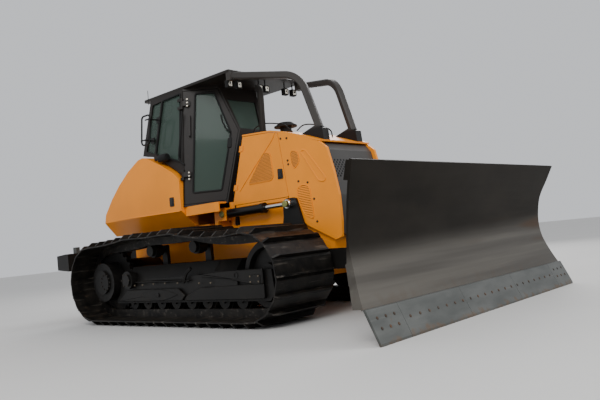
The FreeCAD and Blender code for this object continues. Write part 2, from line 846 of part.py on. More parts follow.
def cab_shell():
    wall, sill = num(cab_wall), num(cab_sill)
    low = num(cab_floor)
    tub = num(tub_half)
    shell = cab_solid(cab_side(low), 0).fuse(brick(fx(345), fx(1250), -tub, tub, low, 2330))
    screen = [
        (-screen_low[0], screen_low[1]), (screen_low[0], screen_low[1]), (screen_high[0], screen_high[1]),
        (-screen_high[0], screen_high[1]),
    ]
    back = [
        (-back_low[0], back_low[1]), (back_low[0], back_low[1]), (back_high[0], back_high[1]),
        (-back_high[0], back_high[1]),
    ]
    cuts = [
        cab_solid(grown(cab_side(low + sill - wall), -wall), wall),
        brick(num(fx(345)) + wall, fx(1300), wall - tub, tub - wall, low + sill, 2500),
        slab(screen, "yz", fx(1560), fx(1850)),
        slab(back, "yz", fx(250), fx(600)),
    ]
    for corners in quarter_windows:
        cuts.extend(right_and_left(side_slab(corners, -20, wall + 30)))
    opening = door_slab(grown(door_lean, door_gap), -60, door_thick + 40)
    opening = opening.common(brick(fx(pillar_x - door_gap), fx(2200), -1000, 0, 1400, head + 140))
    cuts.extend(right_and_left(opening))
    for tool in cuts:
        shell = shell.cut(tool)
    for level in hinge_levels:
        hinge = hinge_bar(level - 75, 9, 150)
        for z in (level - 75, level + 35):
            rear = 1221 if z < 1900 else 1180
            arm = side_slab([(rear, z), (1253, z), (1253, z + 40), (rear, z + 40)], -44, -7)
            root = side_slab([(rear, z), (1240, z), (1240, z + 40), (rear, z + 40)], -10, 4)
            hinge = hinge.fuse([hinge_bar(z, 19, 40), arm, root])
        shell = shell.fuse(right_and_left(hinge))
    return shell


node("cab_frame", form(cab_shell()))


def leaning_pane(low, high, low_x, high_x):
    """A flat pane across the cab, from the half-width, height and place of its lower and upper edges."""
    gap, thick = num(seat_gap), num(glass_thick)
    side = [
        (fx(low_x), low[1] + gap), (fx(low_x) + thick, low[1] + gap), (fx(high_x) + thick, high[1] - gap),
        (fx(high_x), high[1] - gap),
    ]
    front = [
        (gap - low[0], low[1]), (low[0] - gap, low[1]), (high[0] - gap, high[1]), (gap - high[0], high[1]),
    ]
    return slab(side, "xz", -700, 700).common(slab(front, "yz", fx(200), fx(2000)))


def cab_panes():
    panes = []
    for corners in quarter_windows:
        panes.extend(right_and_left(side_slab(grown(corners, -seat_gap), 24, 24 + glass_thick)))
    front = [front_x(z) - num(datum_x) - 28 for z in (screen_low[1], screen_high[1])]
    panes.append(leaning_pane(screen_low, screen_high, *front))
    panes.append(leaning_pane(back_low, back_high, 364, 499))
    return Part.makeCompound(panes)


node("cab_glass", form(cab_panes()))


def cab_door():
    leaf = door_slab(door_lean, 2, door_thick).cut(door_slab(window_lean, -10, 100))
    leaf = leaf.common(brick(fx(pillar_x), fx(2200), -1000, 0, 1400, head + 140))
    for level in hinge_levels:
        barrel = hinge_bar(level - 33, 19, 66)
        arm = door_slab([(-14, level - 33), (92, level - 33), (92, level + 33), (-14, level + 33)], -40, 2.5)
        leaf = leaf.fuse([barrel, arm]).cut(hinge_bar(level - 40, 9 + num(pin_gap), 80))
    low, high = head - 660, head - 380
    grip = door_slab([(74, low), (96, low), (96, high), (74, high)], -55, -30)
    posts = [door_slab([(74, z), (96, z), (96, z + 24), (74, z + 24)], -40, 3) for z in (low, high - 24)]
    return leaf.fuse([grip] + posts)


both("door", form(cab_door()))
both("door_glass", form(door_slab(grown(window_lean, -seat_gap), 18, 18 + num(glass_thick))))

# Roof plate, with the two sweeps that run from its front corners down to the hood
roof_side = [
    (fx(333), cab_top), (fx(2209), cab_top), (fx(2209), cab_top + 18), (fx(2180), cab_top + roof_thick),
    (fx(372), cab_top + roof_thick), (fx(333), cab_top + 18),
]
roof_plan = [
    (num(fx(333)), -num(roof_half), 40), (num(fx(2209)), -num(roof_half), 60),
    (num(fx(2209)), num(roof_half), 60), (num(fx(333)), num(roof_half), 40),
]
roof = slab(roof_side, "xz", -roof_half, roof_half).common(slab(
    roof_plan, "xy", cab_top, cab_top + roof_thick + 5,
))
node("roof", form(roof))


def sweep():
    start = Vec(num(fx(2150)), -640, num(cab_top) - 40)
    corner = Vec(num(fx(3048)), -345, 2848)
    foot = Vec(num(fx(3256)), -320, 2165)
    across = (corner - start).cross(foot - corner)
    across.normalize()
    ahead = corner - start
    ahead.normalize()
    up = across.cross(ahead)
    back = start - corner
    on = foot - corner
    half = back.getAngle(on) / 2
    back.normalize()
    on.normalize()
    bend = num(sweep_bend)
    first = corner + back * (bend / math.tan(half))
    last = corner + on * (bend / math.tan(half))
    toward = back + on
    toward.normalize()
    middle = corner + toward * (bend / math.sin(half) - bend)
    path = Part.Wire([
        Part.LineSegment(start, first).toShape(), Part.Arc(first, middle, last).toShape(),
        Part.LineSegment(last, foot).toShape(),
    ])
    a = num(sweep_half)
    c = 12
    ring = []
    for u, v in (
        (-a, c - a), (c - a, -a), (a - c, -a), (a, c - a), (a, a - c), (a - c, a), (c - a, a), (-a, a - c),
    ):
        ring.append(start + across * u + up * v)
    tube = path.makePipeShell([Part.makePolygon(ring + ring[:1])], True, False)
    wedge = [(fx(3010), 2132.5), (fx(3140), 2090.4), (fx(3345), 2011.1), (fx(3335), 2150), (fx(3230), 2200)]
    shoe = brick(fx(2120), fx(2200), -686, -592, cab_top - 98, cab_top - seat_gap)
    above = brick(fx(2000), fx(2600), -800, -400, cab_top - seat_gap, cab_top + 140)
    return tube.cut(above).fuse([slab(wedge, "xz", -375, -265), shoe])


pair("sweeps", form(sweep()))

# Hood: top cover, hinged engine doors, fixed front panels that curve down over the nose, and the nose grille
seam_top = (2712, 2219)
seam_low = (2792, 1410)
hood_line = [(2093, 2285), (2590, 2250), (2800, 2200), (3140, 2090), (3365, 2003)]
nose_line = [(3450, 1900), (3520, 1600), (3560, 1350), (3560, 1060), (3540, 870), (3450, 845)]


def line_size(points):
    return [(fx(x), z) for x, z in points]


def offset_line(points, depth):
    """An open line moved to its right-hand side by a depth."""
    lines = []
    for (ua, va), (ub, vb) in zip(points, points[1:]):
        length = math.hypot(ub - ua, vb - va)
        nu, nv = (vb - va) / length, -(ub - ua) / length
        lines.append((nu, nv, nu * ua + nv * va + depth))
    out = [(points[0][0] + lines[0][0] * depth, points[0][1] + lines[0][1] * depth)]
    for (a, b, c), (d, e, f) in zip(lines, lines[1:]):
        det = a * e - b * d
        out.append(((c * e - b * f) / det, (a * f - c * d) / det))
    out.append((points[-1][0] + lines[-1][0] * depth, points[-1][1] + lines[-1][1] * depth))
    return out


skin = num(hood_skin)
hood_under = offset_line(hood_line, skin)
exhaust_y = size("exhaust_y", -345)
stack_x = size("stack_x", 2338)
cleaner_x = size("cleaner_x", 2420)
hood_cover = cut(
    prism(line_size(hood_line + hood_under[::-1]), "xz", -hood_half, hood_half),
    rod("z", fx(stack_x), exhaust_y, 2150, 56 + seat_gap, 200),
    rod("z", fx(cleaner_x), 0, 2150, 75 + seat_gap, 200),
)
node("hood_top", hood_cover)
front_outline = (
    [(seam_top[0] + 6, seam_top[1] - skin - 0.6)] + hood_under[2:4] + [(3352, 1983)] + nose_line
    + [(3050, 1040), (2798, 1290), (seam_low[0] + 6, seam_low[1])]
)
both("front_panel", prism(line_size(front_outline), "xz", -hood_half, -hood_half + 40))
door_outline = [
    (2097, 2257), (2588, 2224), (seam_top[0], 2194), seam_low, (1819, 1410), (1819, 1470),
]
hinge_foot = Vec(num(fx(1805)), -num(hood_half) - 2, 1470)
hinge_head = Vec(num(fx(2093)), -num(hood_half) - 2, 2285)
hinge_line = hinge_head - hinge_foot
hinge_line.normalize()


def on_hinge(distance, radius, length):
    """A round bar on the engine door's hinge line, at a distance up from its foot."""
    return Part.makeCylinder(radius, length, hinge_foot + hinge_line * distance, hinge_line)


def engine_door():
    leaf = slab(line_size(door_outline), "xz", -num(hood_half), 20 - num(hood_half))
    for distance in (130, 640):
        strap = on_hinge(distance, 10, 80)
        foot = hinge_foot + hinge_line * (distance + 6)
        head = hinge_foot + hinge_line * (distance + 74)
        ring = [(foot.x, foot.z), (foot.x + 60, foot.z), (head.x + 60, head.z), (head.x, head.z)]
        plate = slab(ring, "xz", -num(hood_half) - 8, 4 - num(hood_half))
        leaf = leaf.fuse([strap, plate]).cut(on_hinge(distance - 5, 5 + num(pin_gap), 90))
    return leaf


def bulkhead():
    half = num(hood_half) - 28
    shape = slab(
        line_size([(1775, 1150), (1835, 1150), (1837, 1470), (2117, 2262.9), (2089, 2264.4), (1809, 1470)]),
        "xz", -half, half,
    )
    shape = shape.cut(slab(
        line_size([(1700, 1250), (2300, 1250), (2300, 2180), (1700, 2180)]), "xz", -330, 330,
    ))
    arms = []
    for distance in (130, 640):
        arms.append(on_hinge(distance - 41, 5, 162))
        for end in (distance - 41, distance + 81):
            arms.append(on_hinge(end, 10, 40))
            foot = hinge_foot + hinge_line * (end + 5)
            head = hinge_foot + hinge_line * (end + 35)
            ring = [(foot.x - 9, foot.z), (foot.x + 6, foot.z), (head.x + 6, head.z), (head.x - 9, head.z)]
            arms.append(slab(ring, "xz", -num(hood_half) - 3, -half + 5))
    return shape.fuse(arms + [arm.mirror(Vec(), Vec(0, 1, 0)) for arm in arms])


both("engine_door", form(engine_door()))
node("bulkhead", form(bulkhead()))
nose_depth = 45
nose_full = [(3140, 2090), (3365, 2003)] + nose_line
nose_outer = offset_line(nose_full, nose_depth)[1:]
nose_inner = offset_line(nose_full, nose_depth + 18)[1:]
nose_half = hood_half - 40 - seat_gap
node("nose", prism(line_size(nose_outer + nose_inner[::-1]), "xz", -nose_half, nose_half))
node("radiator", block(fx(3120), fx(3230), -nose_half + 20, nose_half - 20, hull_high, 1930))
node("engine", fuse(
    block(fx(2230), fx(3020), -250, 250, hull_high, 1860),
    block(fx(2300), fx(2950), -190, 190, 1840, 1990),
))

# Exhaust stack and air pre-cleaner on the hood
stack_top = stack_x + 24
exhaust = pipe([
    (fx(stack_x), exhaust_y, 2235), (fx(stack_top), exhaust_y, 2812), (fx(stack_top - 46), exhaust_y, 2874),
], 41, 60)
node("exhaust", form(exhaust.fuse(bar("z", fx(stack_x), exhaust_y, 2235, 56, 60))))
brim = bar("z", fx(cleaner_x), 0, 2350, 150, 18)
dome = Part.makeCone(140, 92, 42, Vec(num(fx(cleaner_x)), 0, 2366))
node("pre_cleaner", form(bar("z", fx(cleaner_x), 0, 2240, 75, 120).fuse([brim, dome])))

# Seat and consoles inside the cab
seat_parts = fuse(
    block(fx(620), fx(1130), -250, 250, 1930, 2060), block(fx(540), fx(680), -240, 240, 2040, 2640),
    block(fx(700), fx(1050), -180, 180, cab_floor + cab_sill, 1935),
)
node("seat", seat_parts)
console_parts = []
for side in (-1, 1):
    low, high = sorted((side * 300, side * 470))
    console_parts.append(block(fx(560), fx(1240), low, high, cab_floor + cab_sill, 2150))
    console_parts.append(rod("z", fx(1180), side * 385, 2140, 22, 150))
console_parts.append(block(fx(1480), fx(1580), -200, 200, cab_floor + cab_sill, 2080))
node("consoles", group(fuse(*console_parts[:2]), fuse(*console_parts[2:4]), console_parts[4]))

# C-frame: two arms beside the hull, a cross member ahead of the nose and the centre pin's housing
arm_line = [
    (fx(2250 - 130), 560), (fx(2250 - 130), 720), (fx(2250 - 60), 770), (fx(2600), 770), (fx(3640), 745),
    (fx(3700), 718), (fx(3900), 718), (fx(3900), 520), (fx(2400), 520),
]
arm_outer = arm_inner + arm_thick
lever = [
    (fx(2560), 760), (fx(2690), 1050), (fx(2722), 1172), (fx(2730), 1310), (fx(2760), 1372),
    (fx(2800), 1386),
    (fx(2900), 1386), (fx(2941), 1372), (fx(3015), 1108), (fx(3130), 760),
]
arms = []
lever_outer = lift_y - lift_eye_half - 1
for side in (-1, 1):
    low, high = sorted((side * num(arm_inner), side * num(arm_outer)))
    arm = cut(
        prism(arm_line, "xz", low, high),
        rod("y", fx(frame_pivot_x), low - 5, frame_pivot_z, 70 + pin_gap, arm_thick + 10),
    )
    arms.append(arm)
    low, high = sorted((side * num(lever_outer - 32), side * num(lever_outer)))
    arms.append(prism(lever, "xz", low, high))
centre_post = size("centre_post", 95)
housing = rod("z", fx(ball_x), 0, ball_z - 150, centre_post + 60, 300)
c_frame = fuse(
    *arms,
    block(fx(3690), fx(3905), -arm_outer, arm_outer, 440, 722),
    prism([(fx(3900), -420), (fx(3900), 420), (fx(4300), 150), (fx(4300), -150)], "xy", 450, 690),
    block(fx(4250), fx(ball_x), -140, 140, 450, 690),
    housing,
)
c_frame = cut(c_frame, rod("z", fx(ball_x), 0, ball_z - 160, centre_post + pin_gap, 320))
angle_base_x = size("angle_base_x", 3800)
angle_base_y = size("angle_base_y", 455)
angle_pin_x = size("angle_pin_x", 4640)
angle_pin_y = size("angle_pin_y", 850)
angle_z = size("angle_z", 786.5)
angle_pins = [rod("z", fx(angle_base_x), side * angle_base_y, 712, 30, 140) for side in (-1, 1)]
node("c_frame", fuse(c_frame, *angle_pins))

# Yoke: turns on the centre post and carries the blade's tilt pin and the cylinders' pins
yoke = fuse(
    rod("z", fx(ball_x), 0, ball_z - 200, centre_post, 400),
    rod("z", fx(ball_x), 0, ball_z - 215, centre_post + 50, 60),
    rod("z", fx(ball_x), 0, ball_z + 156, centre_post + 50, 60),
    block(fx(ball_x + 60), fx(4640), -160, 160, ball_z - 215, ball_z - 156),
    block(fx(ball_x + 60), fx(4640), -160, 160, ball_z + 156, ball_z + 216),
    block(fx(4590), fx(4640), -170, 170, ball_z - 215, ball_z + 216),
    prism([(fx(4590), -160), (fx(4640), -160), (fx(4680), -910), (fx(4600), -910)], "xy", 712, 756),
    prism([(fx(4590), 160), (fx(4640), 160), (fx(4680), 910), (fx(4600), 910)], "xy", 712, 756),
    block(fx(4548), fx(4590), -480, -360, 740, 1060),
    rod("x", fx(4560), -420, 1010, 24, 125),
    rod("x", fx(4635), 0, ball_z, 90, 110),
)
node("yoke", yoke)


# Cylinders: a barrel hung on a base pin, and a rod with an eye at its far end
def cylinder(base, eye, radius, rod_radius, barrel_length, rod_length, pin_axis, eyes, start=None):
    """Barrel and rod as two shapes, laid from the base pin's centre to the eye's centre."""
    base = Vec(*(num(c) for c in base))
    eye = Vec(*(num(c) for c in eye))
    along = eye - base
    length = along.Length
    along.normalize()
    radius, rod_radius = num(radius), num(rod_radius)
    eye_radius, half, base_hole = eyes
    axis = {"y": Vec(0, 1, 0), "z": Vec(0, 0, 1), "x": Vec(1, 0, 0)}[pin_axis]
    start = start or eye_radius * 0.8
    neck = Part.makeCylinder(half - 1, start + 10, base, along)
    tube = Part.makeCylinder(radius, barrel_length - start, base + along * start, along)
    head = Part.makeCylinder(radius + 7, 60, base + along * (barrel_length - 60), along)
    lug = Part.makeCylinder(eye_radius, 2 * half, base - axis * half, axis)
    barrel = tube.fuse([head, lug, neck])
    bore = Part.makeCylinder(radius - 12, barrel_length - start - 90, base + along * (start + 30), along)
    gland = Part.makeCylinder(rod_radius + 0.06, 200, base + along * (barrel_length - 100), along)
    barrel = barrel.cut([bore, gland, Part.makeCylinder(base_hole, 4 * half, base - axis * 2 * half, axis)])
    stem = Part.makeCylinder(rod_radius, rod_length, base + along * (length - rod_length), along)
    end = Part.makeCylinder(eye_radius, 2 * half, eye - axis * half, axis)
    stem = stem.fuse(end)
    return barrel, stem


lift_barrel, lift_rod = cylinder(
    (fx(lift_base_x), -lift_y, lift_base_z), (fx(lift_pin_x), -lift_y, lift_pin_z), lift_radius, 29, 735,
    640, "y",
    (52, num(lift_eye_half), 34 + num(pin_gap)), 84,
)
pin_head = bar("y", fx(lift_pin_x), -lift_y - lift_eye_half - 14, lift_pin_z, 46, 18)
both("lift_barrel", form(lift_barrel))
both("lift_rod", form(lift_rod.fuse(pin_head)))

angle_barrel, angle_rod = cylinder(
    (fx(angle_base_x), -angle_base_y, angle_z), (fx(angle_pin_x), -angle_pin_y, angle_z), 52, 26, 590, 620,
    "z",
    (46, 30, 30 + num(pin_gap)),
)
both("angle_barrel", form(angle_barrel))
both("angle_rod", form(angle_rod))

tilt_base_y = size("tilt_base_y", -420)
tilt_eye_y = size("tilt_eye_y", 400)
tilt_x = size("tilt_x", 4655)
tilt_z = size("tilt_z", 1010)
tilt_barrel, tilt_rod = cylinder(
    (fx(tilt_x), tilt_base_y, tilt_z), (fx(tilt_x), tilt_eye_y, tilt_z), 50, 25, 560, 400, "x",
    (44, 28, 24 + num(pin_gap)),
)
node("tilt_barrel", form(tilt_barrel))
node("tilt_rod", form(tilt_rod))

# Blade: a smoothly curved mouldboard with waisted end plates, back ribs and the bearing for the tilt pin
blade_rows = [
    (1480, 4994, 2076, 24), (1400, 4958, 2055, 20), (1300, 4914, 2029, 18), (1200, 4867, 1995, 18),
    (1100, 4829, 1968, 18),
    (1000, 4806, 1959, 19), (900, 4790, 1958, 20), (800, 4783, 1962, 24), (700, 4791, 1958, 46),
    (600, 4811, 1965, 66),
    (500, 4842, 1990, 76), (400, 4879, 2019, 88), (285, 4930, 2052, 108),
]
blade_front = [(x, z) for z, x, _, _ in blade_rows]
blade_rear = offset_line(blade_front, num(blade_skin))


def curved_plate(front, rear, low, high):
    """A plate between two smooth curves of the XZ plane, carried from low to high along Y."""
    curves = []
    for points in (front, rear):
        spline = Part.BSplineCurve()
        spline.interpolate([Vec(num(fx(x)), num(low), z) for x, z in points])
        curves.append(spline.toShape())
    ends = []
    for i in (0, -1):
        a = Vec(num(fx(front[i][0])), num(low), front[i][1])
        b = Vec(num(fx(rear[i][0])), num(low), rear[i][1])
        ends.append(Part.LineSegment(a, b).toShape())
    ring = Part.Wire([curves[0], ends[1], curves[1], ends[0]])
    return Part.Face(ring).extrude(Vec(0, num(high) - num(low), 0))


def end_band(inset):
    """The blade's outline seen from the front, its ends drawn in by an inset, carried along X past it."""
    side = [(wide - inset, z) for z, _, wide, _ in blade_rows]
    side = [(side[0][0] + 0.2 * 40, side[0][1] + 40)] + side + [(side[-1][0], side[-1][1] - 60)]
    return slab(side + [(-y, z) for y, z in side[::-1]], "yz", fx(4500), fx(5100))


def blade_body():
    reach = 2100
    shape = curved_plate(blade_front, blade_rear, -reach, reach)
    top = [(4985, 1480), (4966, 1440), (4912, 1320), (4858, 1330), (4935, 1480)]
    low = [(4868, 395), (4768, 470), (4725, 640), (4782, 690), (4800, 600), (4900, 330)]
    shape = shape.fuse([slab(line_size(line), "xz", -reach, reach) for line in (
        top, low,
    )]).common(end_band(0))
    hug = [(x - depth, z) for z, x, _, depth in blade_rows]
    ends = curved_plate(blade_front, hug, -reach, reach).common(end_band(0).cut(end_band(26)))
    back_line = [
        (4975, 1480), (4890, 1470), (4790, 1290), (4718, 1100), (4690, 900), (4700, 700), (4745, 520),
        (4830, 330), (4890, 285),
    ]
    middle = offset_line(blade_front, num(blade_skin) / 2)
    rib = line_size(middle + back_line[::-1])
    parts = [ends] + [slab(rib, "xz", y - 9, y + 9) for y in (-1520, -1020, 1020, 1520)]
    parts.append(bar("x", fx(4648), 0, ball_z, 150, 130))
    core = [(4690, 400), (4862, 415), (4832, 500), (4801, 600), (4781, 700), (4775, 760), (4690, 760)]
    parts.append(slab(line_size(core), "xz", -330, 330))
    eye_plate = [(fx(tilt_x + 28.3), 940), (fx(4785), 940), (fx(4812), 1075), (fx(tilt_x + 28.3), 1075)]
    parts.append(slab(eye_plate, "xz", tilt_eye_y - 60, tilt_eye_y + 60))
    return shape.fuse(parts).cut(bar("x", fx(4640), 0, ball_z, 90.05, 112))


node("blade", form(blade_body()))

# Cutting edge in five bolted lengths
edge_line = [(4930.3, 285), (5060, 0), (5075, 0), (5075, 22), (4956, 285)]


def cutting_edge():
    half = num(blade_half)
    ends = [-half - 12, -half + 430, -560, 560, half - 430, half + 12]
    pieces = []
    for low, high in zip(ends, ends[1:]):
        pieces.append(slab(line_size(edge_line), "xz", low + 1.5, high - 1.5))
    return Part.makeCompound(pieces)


node("cutting_edge", form(cutting_edge()))

# Ripper: brackets on the hull, a lifting frame with three shanks and two cylinders
ripper_eye_x = size("ripper_eye_x", -1440)
ripper_eye_z = size("ripper_eye_z", 1095)
ripper_base_x = size("ripper_base_x", -640)
ripper_base_z = size("ripper_base_z", 1135)
ripper_cylinder_y = size("ripper_cylinder_y", 300)
bracket = [
    (fx(-570), 560), (fx(-700), 610), (fx(-770), 700), (fx(-720), 790), (fx(-720), 1180), (fx(-570), 1200),
]
brackets = []
for side in (-1, 1):
    low, high = sorted((side * 410, side * 435))
    brackets.append(slab(bracket, "xz", low, high))
    low, high = sorted((side * 245, side * 265))
    brackets.append(slab(
        [(fx(-570), 1060), (fx(-672), 1060), (fx(-672), 1200), (fx(-570), 1200)], "xz", low, high,
    ))
    low, high = sorted((side * 240, side * 436))
    brackets.append(bar("y", fx(ripper_base_x), low, ripper_base_z, 30, high - low))
    low, high = sorted((side * 340, side * 450))
    brackets.append(bar("y", fx(ripper_pin_x), low, ripper_pin_z, 45, high - low))
brackets.append(brick(fx(-580), fx(-560), -438, 438, 580, 1200))
node("ripper_mount", form(brackets[0].fuse(brackets[1:])))

ripper_arm = [
    (fx(-630), 640), (fx(-630), 760), (fx(-700), 790), (fx(-1450), 1015), (fx(-1450), 760), (fx(-800), 630),
]
ripper_parts = []
for side in (-1, 1):
    low, high = sorted((side * 350, side * 408))
    ripper_parts.append(slab(ripper_arm, "xz", low, high))
    low, high = sorted((side * 240, side * 266))
    ear = [(fx(-1480), 1000), (fx(-1400), 1000), (fx(-1385), 1080), (fx(-1440), 1140), (fx(-1500), 1090)]
    ripper_parts.append(slab(ear, "xz", low, high))
half = num(ripper_half)
beam_line = [(-1780, 780), (-1430, 750), (-1430, 1022), (-1500, 1022), (-1780, 1005)]
ripper_parts.append(slab(line_size(beam_line), "xz", -half, half))
ripper_frame = ripper_parts[0].fuse(ripper_parts[1:])
holes = [bar("y", fx(ripper_pin_x), -460, ripper_pin_z, num(45 + pin_gap), 920)]
shank = [
    (-1655, 1120), (-1560, 1120), (-1555, 620), (-1500, 520), (-1395, 430), (-1490, 432), (-1600, 510),
    (-1655, 640),
]
shanks = [slab(line_size(shank), "xz", y - 32, y + 32) for y in (-850, 0, 850)]
pockets = [slab(line_size(grown(shank, 0.3)), "xz", y - 32.3, y + 32.3) for y in (-850, 0, 850)]
node("ripper_frame", form(ripper_frame.cut(holes + pockets)))
node("ripper_shanks", form(Part.makeCompound(shanks)))

ripper_barrel, ripper_rod = cylinder(
    (fx(ripper_base_x), -ripper_cylinder_y, ripper_base_z),
    (fx(ripper_eye_x), -ripper_cylinder_y, ripper_eye_z),
    50, 26, 560, 560, "y", (48, 30, 30 + num(pin_gap)), 78,
)
both("ripper_barrel", form(ripper_barrel))
both("ripper_rod", form(ripper_rod))

# Tube loops beside the cab's rear corners, and work lamps under the roof
def loop_rail():
    low, high = head - 658, head - 262
    corners = [(fx(498), low, 50), (fx(690), low, 50), (fx(752), high, 50), (fx(560), high, 50)]
    path = wire_of(corners, "xz", -900)
    edge = path.Edges[1]
    start = edge.valueAt(edge.FirstParameter)
    section = Part.Wire([Part.Circle(start, edge.tangentAt(edge.FirstParameter), 12).toShape()])
    loop = path.makePipeShell([section], True, False)
    parts = []
    for x, z in ((560, low + 68), (700, high - 58)):
        parts.append(bar("y", fx(x), -900, z, 10, 900 + wall_y(z) - 8))
        parts.append(side_slab(
            [(x - 40, z - 40), (x + 40, z - 40), (x + 40, z + 40), (x - 40, z + 40)], -14, -seat_gap,
        ))
        parts.append(slab(
            [(fx(x - 70), z - 8), (fx(x + 70), z - 8), (fx(x + 70), z + 8), (fx(x - 70), z + 8)], "xz",
            -906, -894,
        ))
    return loop.fuse(parts)


pair("loop_rails", form(loop_rail()))
lamps = []
for x, y in (
    (2040, -600), (2040, -440), (2040, -60), (2040, 60), (2040, 440), (2040, 600), (380, -560), (380, 560),
):
    head = brick(fx(x), fx(x + 55), y - 42, y + 42, cab_top - 165, cab_top - 73)
    lamps.append(head.fuse(bar("z", fx(x + 25), y, cab_top - 80, 9, 79.7)))
node("lamps", form(Part.makeCompound(lamps)))


# Check, then write every piece to its own file
doc.recompute()
for thing in doc.Objects:
    if "Invalid" in thing.State or "Error" in thing.State:
        raise RuntimeError("not computed: %s %s" % (thing.Label, thing.State))
os.makedirs("parts", exist_ok=True)
for name, thing in nodes.items():
    shape = thing.Shape
    if shape.isNull() or not shape.isValid() or not shape.Solids:
        raise RuntimeError("no sound solid: %s" % name)
    shape.exportStep("parts/%s.step" % name)
print(len(nodes), "pieces written")
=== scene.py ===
import bpy
import bmesh
import json
import math
import numpy as np
from mathutils import Matrix, Vector


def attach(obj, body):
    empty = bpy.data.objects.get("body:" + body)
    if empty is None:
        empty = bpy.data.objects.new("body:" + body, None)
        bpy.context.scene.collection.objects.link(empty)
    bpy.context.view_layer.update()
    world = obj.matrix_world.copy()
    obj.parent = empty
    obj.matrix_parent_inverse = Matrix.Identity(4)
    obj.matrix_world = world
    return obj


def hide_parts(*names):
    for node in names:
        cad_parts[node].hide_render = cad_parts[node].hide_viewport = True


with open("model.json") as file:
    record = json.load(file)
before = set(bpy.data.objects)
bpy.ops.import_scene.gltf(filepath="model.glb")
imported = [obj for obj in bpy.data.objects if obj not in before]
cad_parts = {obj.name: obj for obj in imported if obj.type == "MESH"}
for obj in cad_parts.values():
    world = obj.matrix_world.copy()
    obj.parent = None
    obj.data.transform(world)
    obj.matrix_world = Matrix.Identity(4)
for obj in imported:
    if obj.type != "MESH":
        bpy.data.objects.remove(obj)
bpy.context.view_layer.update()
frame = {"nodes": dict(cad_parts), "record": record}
nodes = frame["nodes"]
print("frame loaded")

datum = -1.6475  # the photograph was measured from a point this far behind the row frame's own zero

view = {
    "place": (8.071 + datum, -6.152, 0.900), "yaw": 131.963, "pitch": 3.352, "roll": -5.875,
    "focal": 648.02, "pictureWide": 600, "sensorWide": 36.0,
}


def placeCamera():
    yaw, pitch, roll = (math.radians(view[k]) for k in ("yaw", "pitch", "roll"))
    look = np.array([math.cos(pitch) * math.cos(yaw), math.cos(pitch) * math.sin(yaw), math.sin(pitch)])
    right = np.array([look[1], -look[0], 0.0])
    right /= np.linalg.norm(right)
    up = np.cross(right, look)
    tiltedRight = math.cos(roll) * right + math.sin(roll) * up
    tiltedUp = -math.sin(roll) * right + math.cos(roll) * up
    data = bpy.data.cameras.new("camera")
    data.sensor_width = view["sensorWide"]
    data.lens = view["focal"] / view["pictureWide"] * view["sensorWide"]
    data.clip_end = 200
    camera = bpy.data.objects.new("camera", data)
    bpy.context.scene.collection.objects.link(camera)
    turn = np.eye(4)
    turn[:3, 0], turn[:3, 1], turn[:3, 2], turn[:3, 3] = tiltedRight, tiltedUp, -look, view["place"]
    camera.matrix_world = Matrix(turn.tolist())
    bpy.context.scene.camera = camera


placeCamera()


# a socket that adds its own Math node for each operator
class Amount:
    def __init__(self, finish, socket):
        self.finish, self.socket = finish, socket

    def math(self, operation, other=0.0, flip=False):
        pair = [other, self] if flip else [self, other]
        return self.finish.add("ShaderNodeMath", {"operation": operation}, {0: pair[0], 1: pair[1]})

    def __add__(self, other): return self.math("ADD", other)
    def __radd__(self, other): return self.math("ADD", other)
    def __sub__(self, other): return self.math("SUBTRACT", other)
    def __rsub__(self, other): return self.math("SUBTRACT", other, True)
    def __mul__(self, other): return self.math("MULTIPLY", other)
    def __rmul__(self, other): return self.math("MULTIPLY", other)
    def __mod__(self, other): return self.math("FLOORED_MODULO", other)
    def __gt__(self, other): return self.math("GREATER_THAN", other)
    def __pow__(self, other): return self.math("POWER", other)


finishes = {}


# one procedural material: a Principled shader and the nodes that feed it
class Finish:
    def __init__(self, name, **fixed):
        self.material = bpy.data.materials.new(name)
        self.material.use_nodes = True
        self.tree = self.material.node_tree
        self.shader = self.tree.nodes["Principled BSDF"]
        for key, value in fixed.items():
            self.shader.inputs[key.replace("_", " ")].default_value = value
        self.place = self.add("ShaderNodeTexCoord", {}, {}, "Object")
        self.facing = self.add("ShaderNodeNewGeometry", {}, {}, "Normal")
        finishes[name] = self.material

    def add(self, kind, settings, inputs, output=0):
        node = self.tree.nodes.new(kind)
        for key, value in settings.items():
            setattr(node, key, value)
        for key, value in inputs.items():
            if isinstance(value, Amount):
                self.tree.links.new(value.socket, node.inputs[key])
            else:
                node.inputs[key].default_value = value
        return Amount(self, node.outputs[output])

    def split(self, vector, axis):
        return self.add("ShaderNodeSeparateXYZ", {}, {0: vector}, axis)

    def noise(self, scale, detail=4.0, stretch=(1, 1, 1), rough=0.55):
        place = self.add("ShaderNodeMapping", {}, {"Vector": self.place, "Scale": stretch})
        return self.add("ShaderNodeTexNoise", {}, {
            "Vector": place, "Scale": scale, "Detail": detail, "Roughness": rough,
        })

    def step(self, value, low, high, top=1.0):
        return self.add("ShaderNodeMapRange", {"interpolation_type": "SMOOTHSTEP"}, {
            0: value, 1: low, 2: high, 3: 0.0, 4: top,
        })

    def blend(self, share, first, second):
        first, second = ((*c, 1) if isinstance(c, tuple) else c for c in (first, second))
        return self.add("ShaderNodeMix", {"data_type": "RGBA"}, {0: share, 6: first, 7: second}, 2)

    def feed(self, **links):
        for key, value in links.items():
            self.tree.links.new(value.socket, self.shader.inputs[key.replace("_", " ")])

    def relief(self, height, strength, distance):
        self.feed(Normal=self.add("ShaderNodeBump", {}, {
            "Strength": strength, "Distance": distance, "Height": height,
        }))


